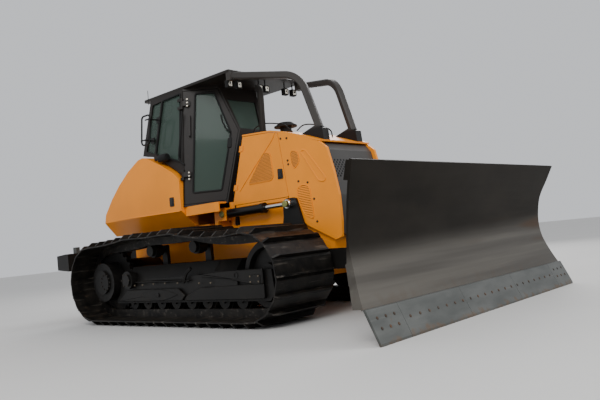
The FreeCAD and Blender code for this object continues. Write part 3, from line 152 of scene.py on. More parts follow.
# dry dust over a colour: more of it low down, on upward faces and in the noise's blotches
def dusted(finish, colour, tint, low, amount, lean):
    up = finish.step(finish.split(finish.facing, 2), 0.25, 1.0, lean)
    height = finish.step(finish.split(finish.place, 2), low, 0.0, amount)
    cloud = finish.noise(5.0, 6.0, (1, 1, 1), 0.65)
    share = finish.step(cloud + up + height, 0.62, 1.15, 0.9)
    return finish.blend(share, colour, tint), share


# paint in soft patches darker and lighter than its colour, under a clear coat and dust
def painted(name, colour, variance, shine, dust, low, amount, lean, coat, metal, grain):
    finish = Finish(name, Metallic=metal, Coat_Roughness=0.18, Coat_Weight=coat, IOR=1.33)
    patch = finish.noise(1.3, 3.0)
    darker = tuple(c * (1 - variance) for c in paint[colour])
    lighter = tuple(min(1.0, c * (1 + variance)) for c in paint[colour])
    base = finish.blend(finish.step(patch, 0.35, 0.65), darker, lighter)
    base, share = dusted(finish, base, paint[dust], low, amount, lean)
    finish.feed(Base_Color=base, Roughness=share * 0.45 + shine + finish.noise(40.0, 3.0) * 0.06)
    finish.relief(finish.noise(160.0, 2.0), grain, 0.0006)


# colours of the paints, the bolts and their dust, and the painted shade of holes, in linear light
paint = {
    "orange": (0.90, 0.285, 0.011), "orangeDust": (0.50, 0.25, 0.09), "vent": (0.16, 0.062, 0.014),
    # ventHoleShade is the painted shade inside the holes of the punched orange vents
    "ventHoleShade": (0.22, 0.072, 0.008), "cab": (0.014, 0.011, 0.009), "cabDust": (0.085, 0.065, 0.05),
    "black": (0.0075, 0.0068, 0.0060), "blackDust": (0.050, 0.040, 0.031), "clay": (0.20, 0.105, 0.055),
    "nose": (0.052, 0.049, 0.046), "noseDust": (0.17, 0.14, 0.11), "cylinder": (0.007, 0.0065, 0.006),
    "sweepDark": (0.035, 0.031, 0.028), "sweepLight": (0.045, 0.041, 0.037), "stack": (0.018, 0.015, 0.012),
    "stackDust": (0.09, 0.07, 0.05), "engine": (0.05, 0.05, 0.05), "console": (0.022, 0.022, 0.023),
    "consoleDust": (0.10, 0.08, 0.07), "rubber": (0.008, 0.0078, 0.0075), "rubberDust": (0.06, 0.05, 0.04),
    # hole is the near-black painted shade of the nose's holes
    "olive": (0.20, 0.21, 0.06), "hole": (0.004, 0.004, 0.004), "holeDust": (0.02, 0.016, 0.012),
    "zinc": (0.55, 0.50, 0.42), "tan": (0.16, 0.13, 0.095), "boltDark": (0.040, 0.034, 0.028),
}
# name, colour, variance, roughness, dust, dust's height and share, dust on tops, coat, metal, grain
for row in [
    ("body_paint", "orange", 0.05, 0.30, "orangeDust", 1.5, 0.18, 0.05, 0.06, 0.0, 0.12),
    ("cab_paint", "cab", 0.15, 0.42, "cabDust", 1.6, 0.25, 0.12, 0.0, 0.0, 0.12),
    ("frame_black", "black", 0.25, 0.42, "blackDust", 0.8, 0.22, 0.20, 0.0, 0.0, 0.12),
    ("cylinder_paint", "cylinder", 0.2, 0.30, "blackDust", 1.2, 0.12, 0.2, 0.05, 0.0, 0.12),
    ("nose_paint", "nose", 0.06, 0.36, "noseDust", 1.6, 0.25, 0.1, 0.05, 0.0, 0.12),
    ("stack_metal", "stack", 0.3, 0.50, "stackDust", 0.5, 0.1, 0.1, 0.0, 0.4, 0.3),
    ("engine_metal", "engine", 0.25, 0.55, "clay", 1.6, 0.3, 0.25, 0.0, 0.2, 0.5),
    ("console_plastic", "console", 0.1, 0.5, "consoleDust", 0.5, 0.1, 0.1, 0.0, 0.0, 0.4),
    ("rubber", "rubber", 0.2, 0.60, "rubberDust", 1.2, 0.2, 0.12, 0.0, 0.0, 0.3),
    ("olive_paint", "olive", 0.15, 0.38, "clay", 1.2, 0.2, 0.1, 0.25, 0.0, 0.12),
    # painted shade in the nose's holes
    ("hole_shade", "hole", 0.1, 0.7, "holeDust", 1.0, 0.1, 0.05, 0.0, 0.0, 0.12),
    ("bolt_zinc", "zinc", 0.2, 0.35, "clay", 1.2, 0.2, 0.1, 0.0, 0.6, 0.12),
    ("bolt_tan", "tan", 0.2, 0.4, "clay", 0.8, 0.2, 0.1, 0.0, 0.4, 0.12),
    ("bolt_dark", "boltDark", 0.3, 0.42, "clay", 0.6, 0.3, 0.2, 0.0, 0.4, 0.12),
    ("vent_shade", "vent", 0.2, 0.6, "orangeDust", 1.5, 0.2, 0.06, 0.0, 0.0, 0.12),
]:
    painted(*row)


# warm grey bars whose feet, below the bend over the hood, are black
def sweepPaint():
    finish = Finish("sweep_paint", Metallic=0.0, IOR=1.33)
    foot = finish.step(finish.split(finish.place, 2), 2.20, 2.15)
    patch = finish.step(finish.noise(1.6, 3.0), 0.35, 0.65)
    base = finish.blend(patch, paint["sweepDark"], paint["sweepLight"])
    base, share = dusted(finish, base, paint["cabDust"], 1.2, 0.2, 0.10)
    finish.feed(
        Base_Color=finish.blend(foot, base, paint["black"]),
        Roughness=share * 0.4 + 0.38 + finish.noise(40.0, 3.0) * 0.06,
    )
    finish.relief(finish.noise(160.0, 2.0), 0.12, 0.0006)


sweepPaint()


# two greys in a fine diagonal weave
def seatCloth():
    finish = Finish("seat_cloth", Metallic=0.0)
    weave = finish.add("ShaderNodeTexWave", {"wave_type": "BANDS", "bands_direction": "DIAGONAL"}, {
        "Vector": finish.place, "Scale": 160.0, "Distortion": 1.5,
    })
    base = finish.blend(weave * 0.6 + finish.noise(9.0) * 0.4, (0.018, 0.018, 0.021), (0.050, 0.049, 0.052))
    finish.feed(Base_Color=base, Roughness=finish.noise(30.0) * 0.15 + 0.75)
    finish.relief(weave, 0.35, 0.001)


seatCloth()


# near-black steel with dry tan dust on its tops and in a few patches
def trackSteel():
    finish = Finish("track_steel", Metallic=0.2, IOR=1.35)
    patch = finish.step(finish.noise(7.0, 5.0), 0.35, 0.7)
    base = finish.blend(patch, (0.006, 0.0055, 0.005), (0.020, 0.017, 0.014))
    cloud = finish.noise(14.0, 8.0, (1, 0.6, 1), 0.7)
    up = finish.step(finish.split(finish.facing, 2), 0.2, 1.0, 0.10)
    share = finish.step(cloud + up, 0.58, 0.82, 0.55)
    base = finish.blend(share, base, (0.125, 0.088, 0.056))
    rub = finish.step(finish.noise(22.0, 4.0, (1, 0.10, 1)), 0.58, 0.70, 0.6)
    base = finish.blend(rub, base, (0.12, 0.105, 0.088))
    finish.feed(Base_Color=base, Roughness=share * 0.3 + 0.42 - rub * 0.08)
    finish.relief(finish.noise(60.0, 6.0), 0.3, 0.003)


trackSteel()


# dark paint above, rubbed steel below the middle whose lighter colour is partly real wear and partly painted
# sheen for the sky's reflection, with soft brown stains in the bright band
def bladeSteel():
    finish = Finish("blade_paint", IOR=1.2)
    y, z = finish.split(finish.place, 1), finish.split(finish.place, 2)
    sweep = finish.noise(0.9, 2.0, (1, 0.25, 1.5), 0.5)
    # below the middle a lighter steel colour: partly wear, partly painted sheen of the sky's reflection
    wornAndSheen = finish.step(z + (sweep - 0.5) * 0.20 - y * 0.035, 0.86, 0.62)
    cloud = finish.step(finish.noise(2.0, 4.0, (1, 0.6, 1.2)), 0.3, 0.75)
    dark = finish.blend(cloud, (0.0075, 0.0058, 0.0038), (0.014, 0.0112, 0.008))
    silk = finish.noise(5.0, 3.0, (1, 0.05, 1.6))
    bareAndSheen = finish.blend(finish.step(silk, 0.3, 0.7), (0.066, 0.060, 0.052), (0.105, 0.097, 0.084))
    base = finish.blend(wornAndSheen, dark, bareAndSheen)
    stain = finish.step(finish.noise(1.0, 2.0, (1, 0.4, 4.0), 0.5), 0.50, 0.64, 0.7)
    stain = stain * finish.step(y, -0.3, 0.7)
    band = finish.step(z, 0.92, 0.80) * finish.step(z, 0.52, 0.66)
    base = finish.blend(stain * band, base, (0.050, 0.024, 0.009))
    rise = finish.step(z, 0.45, 0.28, 0.35) * finish.step(finish.noise(8.0, 6.0), 0.4, 0.7)
    base = finish.blend(rise, base, (0.085, 0.062, 0.045))
    brushed = finish.noise(14.0, 4.0, (1, 0.1, 1))
    finish.feed(Base_Color=base, Metallic=wornAndSheen * 0.35, Roughness=0.50 - wornAndSheen * 0.10 + brushed * 0.08)
    finish.relief(finish.noise(45.0, 4.0, (1, 0.2, 1)), 0.06, 0.002)


bladeSteel()


# grey steel with long bright scrapes, and soil toward its foot
def edgeSteel():
    finish = Finish("edge_steel", Metallic=0.35, IOR=1.4)
    patch = finish.step(finish.noise(6.0, 4.0, (1, 0.3, 1)), 0.3, 0.7)
    base = finish.blend(patch, (0.062, 0.066, 0.062), (0.098, 0.102, 0.096))
    scrape = finish.step(finish.noise(30.0, 4.0, (1, 0.06, 1)), 0.62, 0.76, 0.3)
    base = finish.blend(scrape, base, (0.16, 0.16, 0.15))
    foot = finish.step(finish.split(finish.place, 2), 0.10, 0.0, 0.25)
    soil = finish.step(finish.noise(10.0, 6.0) + foot, 0.64, 0.84, 0.6)
    base = finish.blend(soil, base, (0.13, 0.085, 0.055))
    finish.feed(Base_Color=base, Roughness=soil * 0.3 + 0.45)
    finish.relief(finish.noise(50.0, 5.0), 0.15, 0.002)


edgeSteel()


# bright plating under patches of brown film
def chrome():
    finish = Finish("rod_chrome", Metallic=1.0)
    film = finish.step(finish.noise(30.0, 4.0), 0.45, 0.75, 0.35)
    base = finish.blend(film, (0.72, 0.73, 0.74), (0.45, 0.38, 0.30))
    finish.feed(Base_Color=base, Roughness=film * 0.5 + 0.10)


chrome()


# tinted green glass, seen through a little, with a thin film of dust
def windowGlass():
    finish = Finish("window_glass", Metallic=0.0, Alpha=0.84, IOR=1.2)
    film = finish.step(finish.noise(1.6, 3.0), 0.35, 0.8, 0.04)
    base = finish.blend(film, (0.060, 0.086, 0.072), (0.11, 0.12, 0.10))
    finish.feed(Base_Color=base, Roughness=film + 0.05)


windowGlass()


# a lens of ribbed clear glass over a bright reflector
def lampGlass():
    finish = Finish("lamp_glass", Metallic=0.35)
    rib = finish.add("ShaderNodeTexWave", {"wave_type": "BANDS", "bands_direction": "Y"}, {
        "Vector": finish.place, "Scale": 60.0,
    })
    base = finish.blend(finish.noise(14.0), (0.55, 0.52, 0.44), (0.95, 0.92, 0.82))
    finish.feed(Base_Color=base, Roughness=rib * 0.1 + 0.12)
    finish.relief(rib, 0.4, 0.002)


lampGlass()


# punched sheet: rows of round holes, each row set half a pitch along, drawn on the paint in a darker colour
# that is painted shade inside the holes
def punched(name, colour, holeShade, pitch, hole, across, up):
    finish = Finish(name, Metallic=0.1)
    rowGap = 0.87  # the rows' spacing over the pitch
    u = finish.split(finish.place, across) * (1 / pitch)
    v = finish.split(finish.place, up) * (1 / (pitch * rowGap))
    odd = (v % 2.0) > 1.0
    du, dv = ((u + odd * 0.5) % 1.0) - 0.5, ((v % 1.0) - 0.5) * rowGap
    away = (du * du + dv * dv) ** 0.5
    # inside each hole the colour turns darker: painted shade
    inside = finish.step(away, hole + 0.05, hole - 0.05)
    base = finish.blend(finish.noise(6.0), tuple(c * 0.85 for c in colour), tuple(c * 1.1 for c in colour))
    finish.feed(Base_Color=finish.blend(inside, base, holeShade), Roughness=inside * 0.4 + 0.4)
    finish.relief(1.0 - inside, 0.5, 0.003)


punched("punched_orange", paint["orange"], paint["ventHoleShade"], 0.020, 0.36, 0, 2)


# nodes whose paint isn't quite their slot's
ownFinish = {"sweeps": "sweep_paint", "lamps": "rubber", "pre_cleaner": "rubber"}


def dressNodes():
    for entry in frame["record"]["subparts"]:
        piece = nodes[entry["node"]]
        finish = finishes[ownFinish.get(entry["node"], entry["material_slot"])]
        for i in range(len(piece.data.materials)):
            piece.data.materials[i] = finish
        if not len(piece.data.materials):
            piece.data.materials.append(finish)


dressNodes()
print("finishes made")

# shapes are kept as (points, corner count of each face, corners), all as whole arrays


# a grid of four-cornered faces over rows by columns, closed round either way
def gridFaces(rows, cols, wrapRows=False, wrapCols=True):
    r = np.arange(rows if wrapRows else rows - 1)[:, None]
    c = np.arange(cols if wrapCols else cols - 1)[None, :]
    nextRow, nextCol = (r + 1) % rows, (c + 1) % cols
    corners = np.stack([r * cols + c, r * cols + nextCol, nextRow * cols + nextCol, nextRow * cols + c], -1)
    return corners.reshape(-1, 4)


# one shape from its points and any number of face sets, each set an array of faces with one corner count
def shape(points, *faceSets):
    faceSets = [np.atleast_2d(f) for f in faceSets]
    counts = np.concatenate([np.full(len(f), f.shape[1]) for f in faceSets])
    return np.asarray(points, float).reshape(-1, 3), counts, np.concatenate([f.ravel() for f in faceSets])


# several shapes as one: their corners are numbered on from each other
def join(shapes):
    starts = np.cumsum([0] + [len(s[0]) for s in shapes[:-1]])
    return (
        np.concatenate([s[0] for s in shapes]), np.concatenate([s[1] for s in shapes]),
        np.concatenate([s[2] + start for s, start in zip(shapes, starts)]),
    )


# the same shape on the other side: y changes sign
def mirrored(made):
    return made[0] * np.array([1, -1, 1]), made[1], made[2]


# the seat of drawings on the right side: u forward, v up, h outward from the given y
def sideSeat(y):
    return (0, y, 0), (1, 0, 0), (0, 0, 1), (0, -1, 0)


# where a flat drawing (u, v, h) stands: point = origin + u along + v up + h out; wall and door lean inward
slant = math.sqrt(0.5)
seats = {
    "hood": sideSeat(-0.480), "tank": sideSeat(-0.870), "frame": sideSeat(-1.2455),
    "wall": ((0, -0.9641, 0), (1, 0, 0), (0, 0.09, 1), (0, -1, 0)),
    "door": ((1.25, -0.9641, 0), (slant, slant, 0), (0, 0.09, 1), (slant, -slant, 0)),
}


# drawing points (u, v, h) placed by a seat, or by a name in seats
def stand(seat, flat):
    origin, along, up, out = (np.array(v, float) for v in (seats[seat] if isinstance(seat, str) else seat))
    flat = np.asarray(flat, float)
    return origin + flat[..., 0:1] * along + flat[..., 1:2] * up + flat[..., 2:3] * out


# each corner of an outline becomes a quadratic Bezier arc between the points a radius before and after it
def rounded(corners, radius, steps=5):
    corners = np.asarray(corners, float)

    def toward(other):
        gap = other - corners
        return corners + gap * np.minimum(radius / np.linalg.norm(gap, axis=1, keepdims=True), 0.45)

    first, last = toward(np.roll(corners, 1, 0)), toward(np.roll(corners, -1, 0))
    t = np.linspace(0, 1, steps)[None, :, None]
    arcs = (1 - t) ** 2 * first[:, None] + 2 * t * (1 - t) * corners[:, None] + t ** 2 * last[:, None]
    return arcs.reshape(-1, corners.shape[1])


# the inward normal of a closed flat outline, from the chord between each point's neighbours
def inward(outline):
    chord = np.roll(outline, -1, 0) - np.roll(outline, 1, 0)
    chord /= np.maximum(np.linalg.norm(chord, axis=1, keepdims=True), 1e-9)
    area = np.sum(outline[:, 0] * np.roll(outline[:, 1], -1) - outline[:, 1] * np.roll(outline[:, 0], -1))
    return np.stack([-chord[:, 1], chord[:, 0]], 1) * np.sign(area)


# rings (inset, height) round a closed outline: point = outline + inset * inward normal, at that height
def rings(outline, profile, seat):
    outline, profile = np.asarray(outline, float), np.asarray(profile, float)
    flat = outline[:, None] + inward(outline)[:, None] * profile[None, :, :1]
    height = np.broadcast_to(profile[None, :, 1:], flat.shape[:2] + (1,))
    return stand(seat, np.concatenate([flat, height], -1))


# a profile carried right round an outline, closed both ways
def trim(outline, profile, seat):
    made = rings(outline, profile, seat)
    return shape(made, gridFaces(made.shape[0], made.shape[1], True, True))


# rings round an outline, closed by a lid on the first ring and one on the last
def lidded(outline, profile, seat):
    made = rings(outline, profile, seat)
    rows, cols = made.shape[:2]
    lids = np.arange(rows) * cols
    return shape(made, gridFaces(rows, cols, True, False), lids[::-1], lids + cols - 1)


# a plate with a bevelled rim: rings at the foot, under the bevel and on top
def plate(outline, seat, low, high, bevel=0.003):
    return lidded(outline, [(0, low), (0, high - bevel), (bevel, high)], seat)


# an outline shrunk about its mean point
def shrunk(outline, wide, tall):
    return outline.mean(0) + (outline - outline.mean(0)) * [wide, tall]


hexHead = [(0.62, -0.2), (0.62, 0.16), (0.5, 0.16), (0.5, 0.85), (0.38, 1.0)]


# small turned heads at (u, v) places: one profile scaled by width and height, copied to every place
def bolts(places, seat, across, tall, base=0.0, sides=6, profile=hexHead):
    places = np.asarray(places, float).reshape(-1, 2)
    turn = np.arange(sides) * 2 * math.pi / sides
    profile = np.array(profile) * [across, tall]
    ring = np.stack([np.cos(turn), np.sin(turn)], 1)
    high = np.broadcast_to(profile[:, None, 1:] + base, (len(profile), sides, 1))
    flat = np.concatenate([profile[:, None, :1] * ring[None], high], -1).reshape(-1, 3)
    count, size, ends = len(places), len(flat), np.arange(sides)
    points = flat[None] + np.concatenate([places, np.zeros((count, 1))], 1)[:, None]
    shift = np.arange(count)[:, None, None] * size
    lids = np.stack([ends[::-1], ends + size - sides])
    walls = (gridFaces(len(profile), sides)[None] + shift).reshape(-1, 4)
    return shape(stand(seat, points), walls, (lids[None] + shift).reshape(-1, sides))


# places evenly round a circle
def circlePlaces(x, z, radius, count):
    turn = np.linspace(0, 2 * math.pi, count, endpoint=False)
    return np.stack([x + radius * np.cos(turn), z + radius * np.sin(turn)], 1)


# a profile (radius, height) turned about the seat's out axis at (u, v)
def turnedPiece(place, profile, seat, sides=24):
    turn = np.linspace(0, 2 * math.pi, sides, endpoint=False)
    profile = np.asarray(profile, float)
    u = place[0] + profile[:, None, 0] * np.cos(turn)
    v = place[1] + profile[:, None, 0] * np.sin(turn)
    h = np.broadcast_to(profile[:, None, 1], u.shape)
    ends = np.arange(sides)
    walls = gridFaces(len(profile), sides)
    return shape(stand(seat, np.stack([u, v, h], -1)), walls, ends[::-1], ends + (len(profile) - 1) * sides)


# a cubic through the given points: Catmull-Rom weights on four neighbours at a time
def smoothLine(points, steps=8):
    p = np.asarray(points, float)
    p = np.concatenate([2 * p[:1] - p[1:2], p, 2 * p[-1:] - p[-2:-1]])
    t = np.linspace(0, 1, steps, endpoint=False)[:, None]
    weights = 0.5 * np.concatenate([
        -t + 2 * t ** 2 - t ** 3, 2 - 5 * t ** 2 + 3 * t ** 3, t + 4 * t ** 2 - 3 * t ** 3, t ** 3 - t ** 2,
    ], 1)
    four = np.stack([p[:-3], p[1:-2], p[2:-1], p[3:]], 1)
    return np.concatenate([np.einsum("tk,nkd->ntd", weights, four).reshape(-1, p.shape[1]), p[-2:-1]])


# a circle carried along an open path, square to its direction, with closed ends
def tube(path, radius, sides=10):
    path = np.asarray(path, float)
    turn = np.linspace(0, 2 * math.pi, sides, endpoint=False)
    section = np.stack([np.cos(turn), np.sin(turn)], 1) * radius
    ahead = np.gradient(path, axis=0)
    ahead /= np.linalg.norm(ahead, axis=1, keepdims=True)
    side = np.cross(ahead, np.array([0.0, 0.0, 1.0]))
    side /= np.maximum(np.linalg.norm(side, axis=1, keepdims=True), 1e-9)
    top = np.cross(side, ahead)
    points = path[:, None] + side[:, None] * section[None, :, :1] + top[:, None] * section[None, :, 1:]
    ends = np.arange(sides)
    return shape(points, gridFaces(len(path), sides), ends[::-1], ends + (len(path) - 1) * sides)


# a shape drawn from the datum becomes a piece on its body, its normals outward and its sharp edges marked
def addPiece(name, made, slot, body="tractor", finish=None, sharp=35):
    points, counts, corners = made
    data = bpy.data.meshes.new(name)
    data.vertices.add(len(points))
    data.vertices.foreach_set("co", (points + [datum, 0, 0]).astype(np.float32).ravel())
    data.loops.add(len(corners))
    data.loops.foreach_set("vertex_index", corners.astype(np.int32))
    data.polygons.add(len(counts))
    data.polygons.foreach_set("loop_start", (np.cumsum(counts) - counts).astype(np.int32))
    data.update(calc_edges=True)
    data.validate()
    work = bmesh.new()
    work.from_mesh(data)
    bmesh.ops.recalc_face_normals(work, faces=work.faces)
    work.to_mesh(data)
    work.free()
    data.polygons.foreach_set("use_smooth", np.ones(len(data.polygons), bool))
    data.set_sharp_from_angle(angle=math.radians(sharp))
    data.materials.append(finishes[finish or slot])
    piece = bpy.data.objects.new(name, data)
    bpy.context.scene.collection.objects.link(piece)
    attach(piece, body)
    return piece


# a shape and its mirror image: one piece on the tractor, or one on each of a pair of bodies
def addBoth(name, made, slot, body=None, finish=None):
    if body is None:
        return addPiece(name, join([made, mirrored(made)]), slot, "tractor", finish)
    addPiece(name + "Right", made, slot, body + "_right", finish)
    addPiece(name + "Left", mirrored(made), slot, body + "_left", finish)


# engine doors: a raised crease, a punched cooling panel and a latch on each
engineDoor = {
    "crease": [(2.681, 2.226), (2.59, 2.11), (2.332, 1.901), (1.95, 1.572)],
    "creaseWide": 0.016, "creaseTall": 0.007,
    "panel": [(2.448, 2.0), (2.558, 1.973), (2.578, 1.677), (2.536, 1.638), (2.123, 1.639)],
    "latch": [(2.659, 1.762), (2.736, 1.756), (2.739, 1.637), (2.652, 1.636)],
}
bead = [(-0.5, -0.3), (-0.42, 0.5), (-0.16, 1.0), (0.16, 1.0), (0.42, 0.5), (0.5, -0.3)]


# a bead along an open drawing: its section shrinks at both ends by the fourth root of a half sine wave
def beadOn(seat, drawing, wide, tall, base=0.0):
    path = smoothLine(drawing, 6)
    ahead = np.gradient(path, axis=0)
    ahead /= np.linalg.norm(ahead, axis=1, keepdims=True)
    across = np.stack([-ahead[:, 1], ahead[:, 0]], 1)
    section = np.array(bead) * [wide, tall]
    taper = np.sin(np.linspace(0.12, math.pi - 0.12, len(path))) ** 0.25
    flat = path[:, None] + across[:, None] * section[None, :, :1] * taper[:, None, None]
    height = base + section[None, :, 1:] * taper[:, None, None]
    rows, cols = flat.shape[:2]
    ends = np.arange(cols)
    points = stand(seat, np.concatenate([flat, height], -1))
    return shape(points, gridFaces(rows, cols), ends[::-1], ends + (rows - 1) * cols)


panel = rounded(engineDoor["panel"], 0.03)
addBoth("doorPanel", plate(panel, "hood", 0.0, 0.0045, 0.002), "body_paint", "engine_door", "punched_orange")
rimProfile = [(-0.004, 0.0), (-0.003, 0.0065), (0.001, 0.0085), (0.005, 0.0065), (0.007, 0.0)]
addBoth("doorPanelRim", trim(panel, rimProfile, "hood"), "body_paint", "engine_door")
crease = beadOn("hood", engineDoor["crease"], engineDoor["creaseWide"], engineDoor["creaseTall"], 0.002)
addBoth("doorCrease", crease, "body_paint", "engine_door")
latchPlate = rounded(engineDoor["latch"], 0.012)
paddle = plate(shrunk(latchPlate, 0.52, 0.72), "hood", 0.008, 0.021, 0.005)
addBoth("doorLatch", join([plate(latchPlate, "hood", 0.0, 0.010), paddle]), "console_plastic", "engine_door")

# fixed front panels: two vents, the pressed loop and the bolts
frontPanel = {
    "upperVent": [
        (2.891, 1.926), (2.941, 1.947), (3.017, 1.905), (3.02, 1.794), (2.933, 1.721), (2.894, 1.779),
    ],
    "lowerVent": [
        (2.935, 1.481), (3.033, 1.524), (3.137, 1.497), (3.157, 1.285),
        (3.165, 1.1), (3.028, 1.164), (2.941, 1.36),
    ],
    "loop": [(3.053, 1.916), (3.105, 1.925), (3.142, 1.902), (3.396, 1.562), (3.375, 1.519), (3.292, 1.533)],
    "loopSection": [(-0.011, -0.002), (-0.008, 0.005), (0, 0.009), (0.008, 0.005), (0.011, -0.002)],
    "bolts": [
        (2.758, 2.118), (2.857, 2.106), (2.839, 1.839), (2.842, 1.792),
        (2.977, 1.569), (3.119, 1.538), (3.193, 1.336), (3.205, 1.072),
    ],
    "slats": 19,
}
upperVent, lowerVent = rounded(frontPanel["upperVent"], 0.03), rounded(frontPanel["lowerVent"], 0.05)
addBoth("frontMesh", plate(upperVent, "hood", -0.002, 0.003, 0.001), "body_paint", None, "punched_orange")
addBoth("frontVentBack", plate(lowerVent, "hood", -0.002, 0.0012, 0.0005), "body_paint", None, "vent_shade")
ventRims = join([trim(vent, rimProfile, "hood") for vent in (upperVent, lowerVent)])
addBoth("frontVentRims", ventRims, "body_paint")
pressed = rounded(frontPanel["loop"], 0.03, 7)
addBoth("pressedLoop", trim(pressed, frontPanel["loopSection"], "hood"), "body_paint")


# slanted slats across an outline: each runs between the outline's two crossings of its own level
def slats(outline, count, seat):
    low, high = outline[:, 1].min(), outline[:, 1].max()
    levels = np.linspace(low, high, count + 2)[1:-1]
    nextPoint = np.roll(outline, -1, 0)
    rise = nextPoint[:, 1] - outline[:, 1]
    share = (levels[:, None] - outline[None, :, 1]) / np.where(abs(rise) < 1e-9, 1e-9, rise)[None]
    crossing = outline[None, :, 0] + share * (nextPoint - outline)[None, :, 0]
    hit = (share >= 0) & (share < 1)
    left, right = np.where(hit, crossing, np.inf).min(1), np.where(hit, crossing, -np.inf).max(1)
    step = (levels[1] - levels[0]) * 0.5
    section = np.array([(-0.9, 0.0), (-0.75, 0.007), (0.55, 0.0025), (0.6, 0.0)]) * [step, 1]
    ends = np.stack([left + 0.004, right - 0.004], 1)
    u = np.broadcast_to(ends[:, :, None], (count, 2, 4))
    v = levels[:, None, None] + np.broadcast_to(section[None, None, :, 0], (count, 2, 4))
    h = np.broadcast_to(section[None, None, :, 1], (count, 2, 4))
    shift = np.arange(count)[:, None, None] * 8
    return shape(
        stand(seat, np.stack([u, v, h], -1)), (gridFaces(2, 4)[None] + shift).reshape(-1, 4),
        (np.array([[3, 2, 1, 0], [4, 5, 6, 7]])[None] + shift).reshape(-1, 4),
    )


addBoth("frontVentSlats", slats(lowerVent, frontPanel["slats"], "hood"), "body_paint")
addBoth("hoodBolts", bolts(frontPanel["bolts"], "hood", 0.024, 0.010), "body_paint", None, "bolt_dark")
print("hood dressed")

# fuel tank side: a crease and a latch
tank = {
    "crease": [(-0.30, 1.436), (0.45, 1.425), (1.18, 1.415)],
    "latch": [(0.985, 1.492), (1.076, 1.492), (1.076, 1.616), (0.985, 1.616)],
}
addBoth("tankCrease", beadOn("tank", tank["crease"], 0.020, 0.006), "body_paint")
tankPlate = rounded(tank["latch"], 0.018)
tankPaddle = plate(shrunk(tankPlate, 0.5, 0.7), "tank", 0.008, 0.020, 0.005)
addBoth("tankLatch", join([plate(tankPlate, "tank", -0.002, 0.010), tankPaddle]), "console_plastic")

# cab doors: rubber seals round the glass, handles, latches and hinge bolts
cabDoor = {
    "window": [(0.108, 1.637), (0.491, 1.639), (0.632, 2.408), (0.420, 2.975), (0.163, 2.975)],
    "seal": [(-0.012, 0.0), (-0.010, 0.007), (0.0, 0.010), (0.010, 0.006), (0.013, -0.004), (0.0, -0.006)],
    "handle": [(0.507, 2.64), (0.524, 2.559), (0.569, 2.457), (0.616, 2.413)], "foot": 0.004, "grip": 0.034,
    "latch": [(0.572, 2.20), (0.632, 2.20), (0.640, 2.335), (0.590, 2.335)],
    "hingeBolts": [
        (0.059, 2.903), (0.059, 2.855), (0.059, 2.812), (0.066, 1.909), (0.066, 1.865), (0.066, 1.823),
    ],
}
doorSeal = trim(rounded(cabDoor["window"], 0.03, 7), cabDoor["seal"], "door")
addBoth("doorSeal", doorSeal, "frame_black", "door", "rubber")
grip = [(*p, cabDoor["grip"]) for p in cabDoor["handle"]]
grip = [(*cabDoor["handle"][0], cabDoor["foot"])] + grip + [(*cabDoor["handle"][-1], cabDoor["foot"])]
handle = tube(smoothLine(stand("door", grip), 6), 0.010)
latchBase = plate(rounded(cabDoor["latch"], 0.015), "door", 0.0, 0.014, 0.004)
addBoth("doorHandle", join([handle, latchBase]), "frame_black", "door", "rubber")
hingeBolts = bolts(cabDoor["hingeBolts"], "door", 0.020, 0.010, 0.0405)
addBoth("doorHingeBolts", hingeBolts, "frame_black", "door", "bolt_zinc")

# cab walls: quarter window seals, antenna, lights on the walls and the grab bar by the right door
quarter = {
    "window": [(0.612, 2.264), (1.155, 2.077), (1.193, 3.008), (0.786, 2.996)],
    "grab": [
        (1.31, -0.785, 2.737), (1.26, -0.80, 2.45), (1.191, -0.81, 2.15), (1.225, -0.81, 2.06),
        (1.265, -0.79, 2.023),
    ],
    "antenna": [(0.607, -0.80, 2.968), (0.609, -0.80, 3.08), (0.612, -0.80, 3.17)],
    "antennaFoot": [(0.607, -0.80, 2.95), (0.607, -0.80, 3.0)],
    "light": [
        (0.018, -0.09), (0.018, 0.0), (0.046, 0.006), (0.054, 0.04), (0.054, 0.16), (0.046, 0.185),
        (0.016, 0.19),
    ],
    "lightSeat": ((0.78, -0.832, 2.175), (0, 1, 0), (0, 0, 1), (1, 0, 0)),
}
quarterSeal = trim(rounded(quarter["window"], 0.03, 7), cabDoor["seal"], "wall")
addBoth("quarterSeal", quarterSeal, "frame_black", None, "rubber")
antenna = join([tube(quarter["antenna"], 0.004, 8), tube(quarter["antennaFoot"], 0.013, 12)])
addPiece("antenna", antenna, "frame_black", "tractor", "rubber")
sideLight = turnedPiece((0, 0), quarter["light"], quarter["lightSeat"])
addBoth("sideLight", sideLight, "frame_black", None, "rubber")
addPiece("grabBar", tube(smoothLine(quarter["grab"], 6), 0.013, 12), "frame_black", "tractor", "rubber")
print("cab dressed")

# work lamps: a lens in a rim on the front of each lamp block
lamps = {
    "front": [-0.600, -0.440, -0.060, 0.060, 0.440, 0.600], "rear": [-0.560, 0.560],
    "z": 2.941, "frontX": 2.095, "rearX": 0.380, "lensShare": 0.86,
    "lens": [(0, 0.0), (0.002, 0.006), (0.012, 0.010), (0.026, 0.012)],
    "rim": [(-0.003, -0.006), (-0.003, 0.010), (0.003, 0.014), (0.007, 0.010), (0.007, -0.002)],
}
lampLine = rounded([(-0.036, -0.040), (0.036, -0.040), (0.036, 0.040), (-0.036, 0.040)], 0.012)


# a lens crowned by four rings and the rim round it, facing forward (turn 1) or back (turn -1)
def lampFace(x, y, turn):
    seat = ((x, y, lamps["z"]), (0, turn, 0), (0, 0, 1), (turn, 0, 0))
    return lidded(lampLine * lamps["lensShare"], lamps["lens"], seat), trim(lampLine, lamps["rim"], seat)


lampFaces = [lampFace(lamps["frontX"], y, 1) for y in lamps["front"]]
lampFaces += [lampFace(lamps["rearX"], y, -1) for y in lamps["rear"]]
addPiece("lampLenses", join([face[0] for face in lampFaces]), "frame_black", "tractor", "lamp_glass")
addPiece("lampRims", join([face[1] for face in lampFaces]), "frame_black", "tractor", "rubber")

